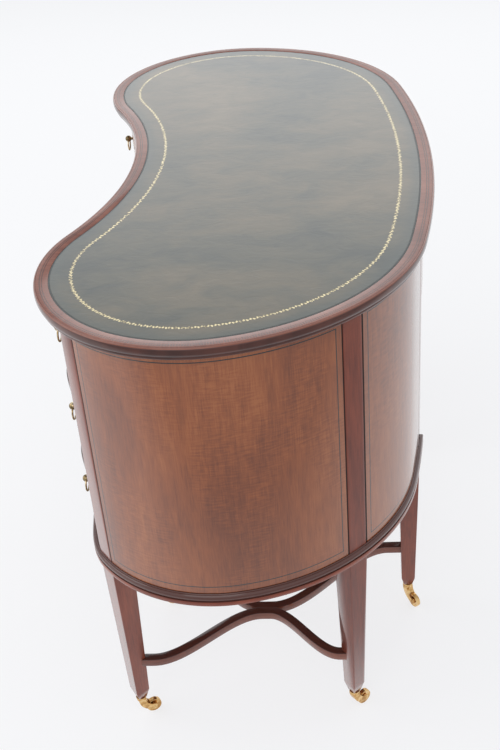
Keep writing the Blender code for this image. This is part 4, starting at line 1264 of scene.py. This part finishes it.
# Profiles of the castors, as (radius, height) points. A rivet's heights are above its cheek,
# and a wheel's are how far it falls back from its side face.
CUP_PROFILE = (
    (0.0030, 0.0330), (0.0066, 0.0332), (0.0074, 0.0340), (0.0076, 0.0352), (0.0070, 0.0362),
    (0.0072, 0.0376), (0.0084, 0.0384), (0.0086, 0.0396), (0.0082, CASTOR_HEIGHT),
    (0.0030, CASTOR_HEIGHT))
RIVET_PROFILE = ((0.0006, 0.0009), (0.0018, 0.0006), (0.0026, -0.0002), (0.0019, -0.0004))
WHEEL_PROFILE = (
    (0.0024, 0), (0.0046, 0), (0.0050, 0.0010), (0.0102, 0.0012), (0.0113, 0.0006),
    (0.0122, 0.0010), (WHEEL_RADIUS, 0.0022))


def horn_outline():
    """The side view of a castor's horn, as (trail, height) points."""
    axle = Vector((CASTOR_TRAIL, WHEEL_RADIUS))
    start, dip = Vector((0, HORN_TOP)), Vector((0, HORN_DIP))
    front, back = [], []
    for share in spaced(0, HORN_END_SHARE, HORN_POINTS):
        point = start * (1 - share) ** 2 + dip * 2 * share * (1 - share) + axle * share ** 2
        run = ((dip - start) * (1 - share) + (axle - dip) * share).normalized()
        half = HORN_TOP_HALF + (HORN_NECK_HALF - HORN_TOP_HALF) * share
        front.append(point - Vector((-run.y, run.x)) * half)
        back.append(point + Vector((-run.y, run.x)) * half)
    run = (axle - dip).normalized()
    heading = math.atan2(run.y, run.x)
    boss = [
        axle + HORN_BOSS_RADIUS * Vector((math.cos(angle), math.sin(angle)))
        for angle in spaced(heading - QUARTER_TURN, heading + QUARTER_TURN, BOSS_POINTS)]
    return front[:-1] + boss + back[:-1][::-1]


def castor_horn():
    """A castor's horn, cup and rivets, with the stem's axis on Z."""
    cup = stacked("cup", [circle_ring(radius, height) for radius, height in CUP_PROFILE])
    outline = horn_outline()
    slot = WHEEL_WIDTH + 2 * WHEEL_PLAY
    width = slot + 2 * CHEEK_THICKNESS
    horn = stacked("horn", [
        [Vector((x, point.x, point.y)) for point in outline] for x in (-width / 2, width / 2)])
    deselect()
    bpy.ops.mesh.primitive_cylinder_add(
        vertices=WHEEL_POINTS, radius=WHEEL_RADIUS + WHEEL_ROOM, depth=slot,
        location=(0, CASTOR_TRAIL, WHEEL_RADIUS), rotation=(0, QUARTER_TURN, 0))
    room = bpy.context.active_object
    bpy.ops.object.transform_apply(location=True, rotation=True, scale=True)
    cut(horn, [room])
    soften(horn, HORN_SOFTENING, 3)
    ends = [(radius, -width / 2 - height) for radius, height in RIVET_PROFILE]
    ends += [(radius, width / 2 + height) for radius, height in RIVET_PROFILE[::-1]]
    rivets = stacked("rivets", [circle_ring(radius, height, RIVET_POINTS) for radius, height in ends])
    at_axle = Matrix.Translation((0, CASTOR_TRAIL, WHEEL_RADIUS))
    rivets.data.transform(at_axle @ Matrix.Rotation(QUARTER_TURN, 4, "Y"))
    return joined("fork", [horn, cup, rivets])


def castor_roller():
    """A castor's turned wheel, about its own axle."""
    half = WHEEL_WIDTH / 2
    section = [(radius, half - fall) for radius, fall in WHEEL_PROFILE]
    section += [(radius, fall - half) for radius, fall in WHEEL_PROFILE[::-1]]
    wheel = stacked(
        "wheel", [circle_ring(radius, height, WHEEL_POINTS) for radius, height in section], closed=True)
    wheel.data.transform(Matrix.Rotation(QUARTER_TURN, 4, "Y"))
    return wheel


def set_castor(name, fork, wheel, pivot, heading):
    """Put copies of the horn and the wheel at a leg, trailing along a heading."""
    turn = Matrix.Translation(pivot) @ Matrix.Rotation(heading - QUARTER_TURN, 4, "Z")
    horn = copied(fork, name + "_castor_horn")
    horn.data.transform(turn)
    finish(horn, CASTOR_BRASS, name + "_castor_fork", [name + "_castor_fork"])
    roller = copied(wheel, name + "_castor_roller")
    roller.data.transform(turn @ Matrix.Translation((0, CASTOR_TRAIL, WHEEL_RADIUS)))
    finish(roller, CASTOR_BRASS, name + "_castor_wheel", [name + "_castor_wheel"])


def castors():
    """A castor under each of the eight legs."""
    fork, wheel = castor_horn(), castor_roller()
    for leg in LEGS:
        heading = CASTOR_HEADINGS[leg.name]
        pivot = leg.centre.to_3d()
        set_castor("right_" + leg.name, fork, wheel, pivot, heading)
        pivot.x = -pivot.x
        set_castor("left_" + leg.name, fork, wheel, pivot, 2 * QUARTER_TURN - heading)
    for piece in (fork, wheel):
        bpy.data.objects.remove(piece)


# Nodes that keep their solids


def dress_nodes():
    """Woods for the inner boards, which keep their CAD solids."""
    for node in ("right_drawer_carcase", "left_drawer_carcase", "centre_drawer_frame"):
        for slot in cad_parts[node].material_slots:
            slot.material = CARCASE


# Studio


def floor_look():
    """A pale matt sweep that glows where it is seen, and fades in reflections past its end."""
    look = Look("studio_floor", 0.9, body_gloss=0.1)
    look.surface("Base Color", FLOOR_COLOUR)
    path = look.node("ShaderNodeLightPath").outputs
    seen = look.math("MAXIMUM", path["Is Camera Ray"], path["Is Glossy Ray"])
    seen = look.math("MAXIMUM", seen, path["Is Transmission Ray"])
    across, along, _ = look.split("Object")
    slanted = look.math("MULTIPLY_ADD", along, SWEEP_SLANT, across)
    fall = look.ramp(slanted, SWEEP_END, SWEEP_END + SWEEP_FADE, 1.0, BEYOND_SWEEP, "LINEAR")
    strength = look.math("MAXIMUM", fall, path["Is Camera Ray"])
    glow = look.node("ShaderNodeEmission", {"Color": FLOOR_GLOW_COLOUR, "Strength": strength})
    share = look.math("MULTIPLY", seen, FLOOR_GLOW_SHARE)
    blend = look.node("ShaderNodeMixShader", {
        0: share, 1: look.shader.outputs[0], 2: glow.outputs[0]})
    look.fill(look.tree.nodes["Material Output"], {0: blend.outputs[0]})
    return look.material


def add_floor():
    """The sweep that the desk stands on."""
    deselect()
    bpy.ops.mesh.primitive_plane_add(size=FLOOR_SIZE)
    floor = bpy.context.active_object
    floor.name = "studio_floor"
    floor.data.materials.append(floor_look())


def add_sky():
    """Soft light all round, dimmer overhead."""
    world = bpy.data.worlds.new("studio")
    world.use_nodes = True
    sky = world.node_tree
    background = sky.nodes["Background"]
    background.inputs[0].default_value = SKY_COLOUR
    direction = sky.nodes.new("ShaderNodeTexCoord")
    height = sky.nodes.new("ShaderNodeSeparateXYZ")
    fade = sky.nodes.new("ShaderNodeMapRange")
    fade.inputs["From Max"].default_value = SKY_FADE_HEIGHT
    fade.inputs["To Min"].default_value = HORIZON_STRENGTH
    fade.inputs["To Max"].default_value = ZENITH_STRENGTH
    sky.links.new(direction.outputs["Generated"], height.inputs[0])
    sky.links.new(height.outputs[2], fade.inputs["Value"])
    sky.links.new(fade.outputs[0], background.inputs[1])
    bpy.context.scene.world = world


def set_up(name, data):
    """A new holder in the studio for a lamp or the camera."""
    holder = bpy.data.objects.new(name, data)
    bpy.context.scene.collection.objects.link(holder)
    return holder


def add_lamps():
    """Three soft rectangular lamps, each aimed at a place on the desk."""
    for name, place, target, size, power in LAMPS:
        lamp = bpy.data.lights.new(name, "AREA")
        lamp.shape = "RECTANGLE"
        lamp.size, lamp.size_y = size
        lamp.energy = power
        holder = set_up(name, lamp)
        holder.location = place
        aim = Vector(target) - Vector(place)
        holder.rotation_euler = aim.to_track_quat("-Z", "Y").to_euler()


def add_camera():
    """The camera at the viewing angle of the photograph."""
    camera = bpy.data.cameras.new("camera")
    camera.lens = CAMERA_LENS
    camera.sensor_width = CAMERA_SENSOR
    camera.clip_end = CAMERA_REACH
    eye = set_up("camera", camera)
    turn = (Matrix.Rotation(CAMERA_YAW, 4, "Z") @ Matrix.Rotation(CAMERA_PITCH, 4, "X")
            @ Matrix.Rotation(CAMERA_ROLL, 4, "Z"))
    eye.matrix_world = Matrix.Translation(CAMERA_PLACE) @ turn
    bpy.context.scene.camera = eye
    bpy.context.scene.view_settings.view_transform = "Standard"


# The finishes and the desk itself
LEG_WOOD = leg_look()
EDGE_WOOD = tone_above_height_look(
    "edge_mahogany", "UV", GRAIN_ALONG_X, DARK_TONES, DESK_HEIGHT - EDGE_TONE_DROP, 1.0, EDGE_UPPER)
BASE_WOOD = tone_above_height_look(
    "base_mahogany", "UV", GRAIN_ALONG_X, LEG_TONES, BASE_BOTTOM + BASE_TONE_LIFT, 0.85, BASE_UPPER)
# The stretchers get a painted shade on their top faces
STRETCHER_WOOD = tone_above_height_look(
    "stretcher_mahogany_painted_shade", "Object", GRAIN_ALONG_Y, STRETCHER_TONES,
    STRETCHER_TOP - STRETCHER_SHADE_DROP, 0.80, STRETCHER_TOP_PAINTED_SHADE)
CARCASE = plain_wood("carcase_mahogany", LEG_TONES, 0.4, 0.3)
LINING = plain_wood("drawer_lining", LINING_TONES, 0.5, 0.05)
CASTOR_BRASS = brass_look("castor_brass", CASTOR_TONES)
PULL_BRASS = brass_look("pull_brass", PULL_TONES)

top_pieces()
panel("end_veneered_panel", "end_panel", OUTER_FRONT, OUTER_BACK)
panel("back_veneered_panel", "back_panel", OUTER_BACK, KNEE_BACK)
legs()
base_boards()
rail_noses()
apron()
stretchers()
drawers()
castors()
dress_nodes()
add_floor()
add_sky()
add_lamps()
add_camera()
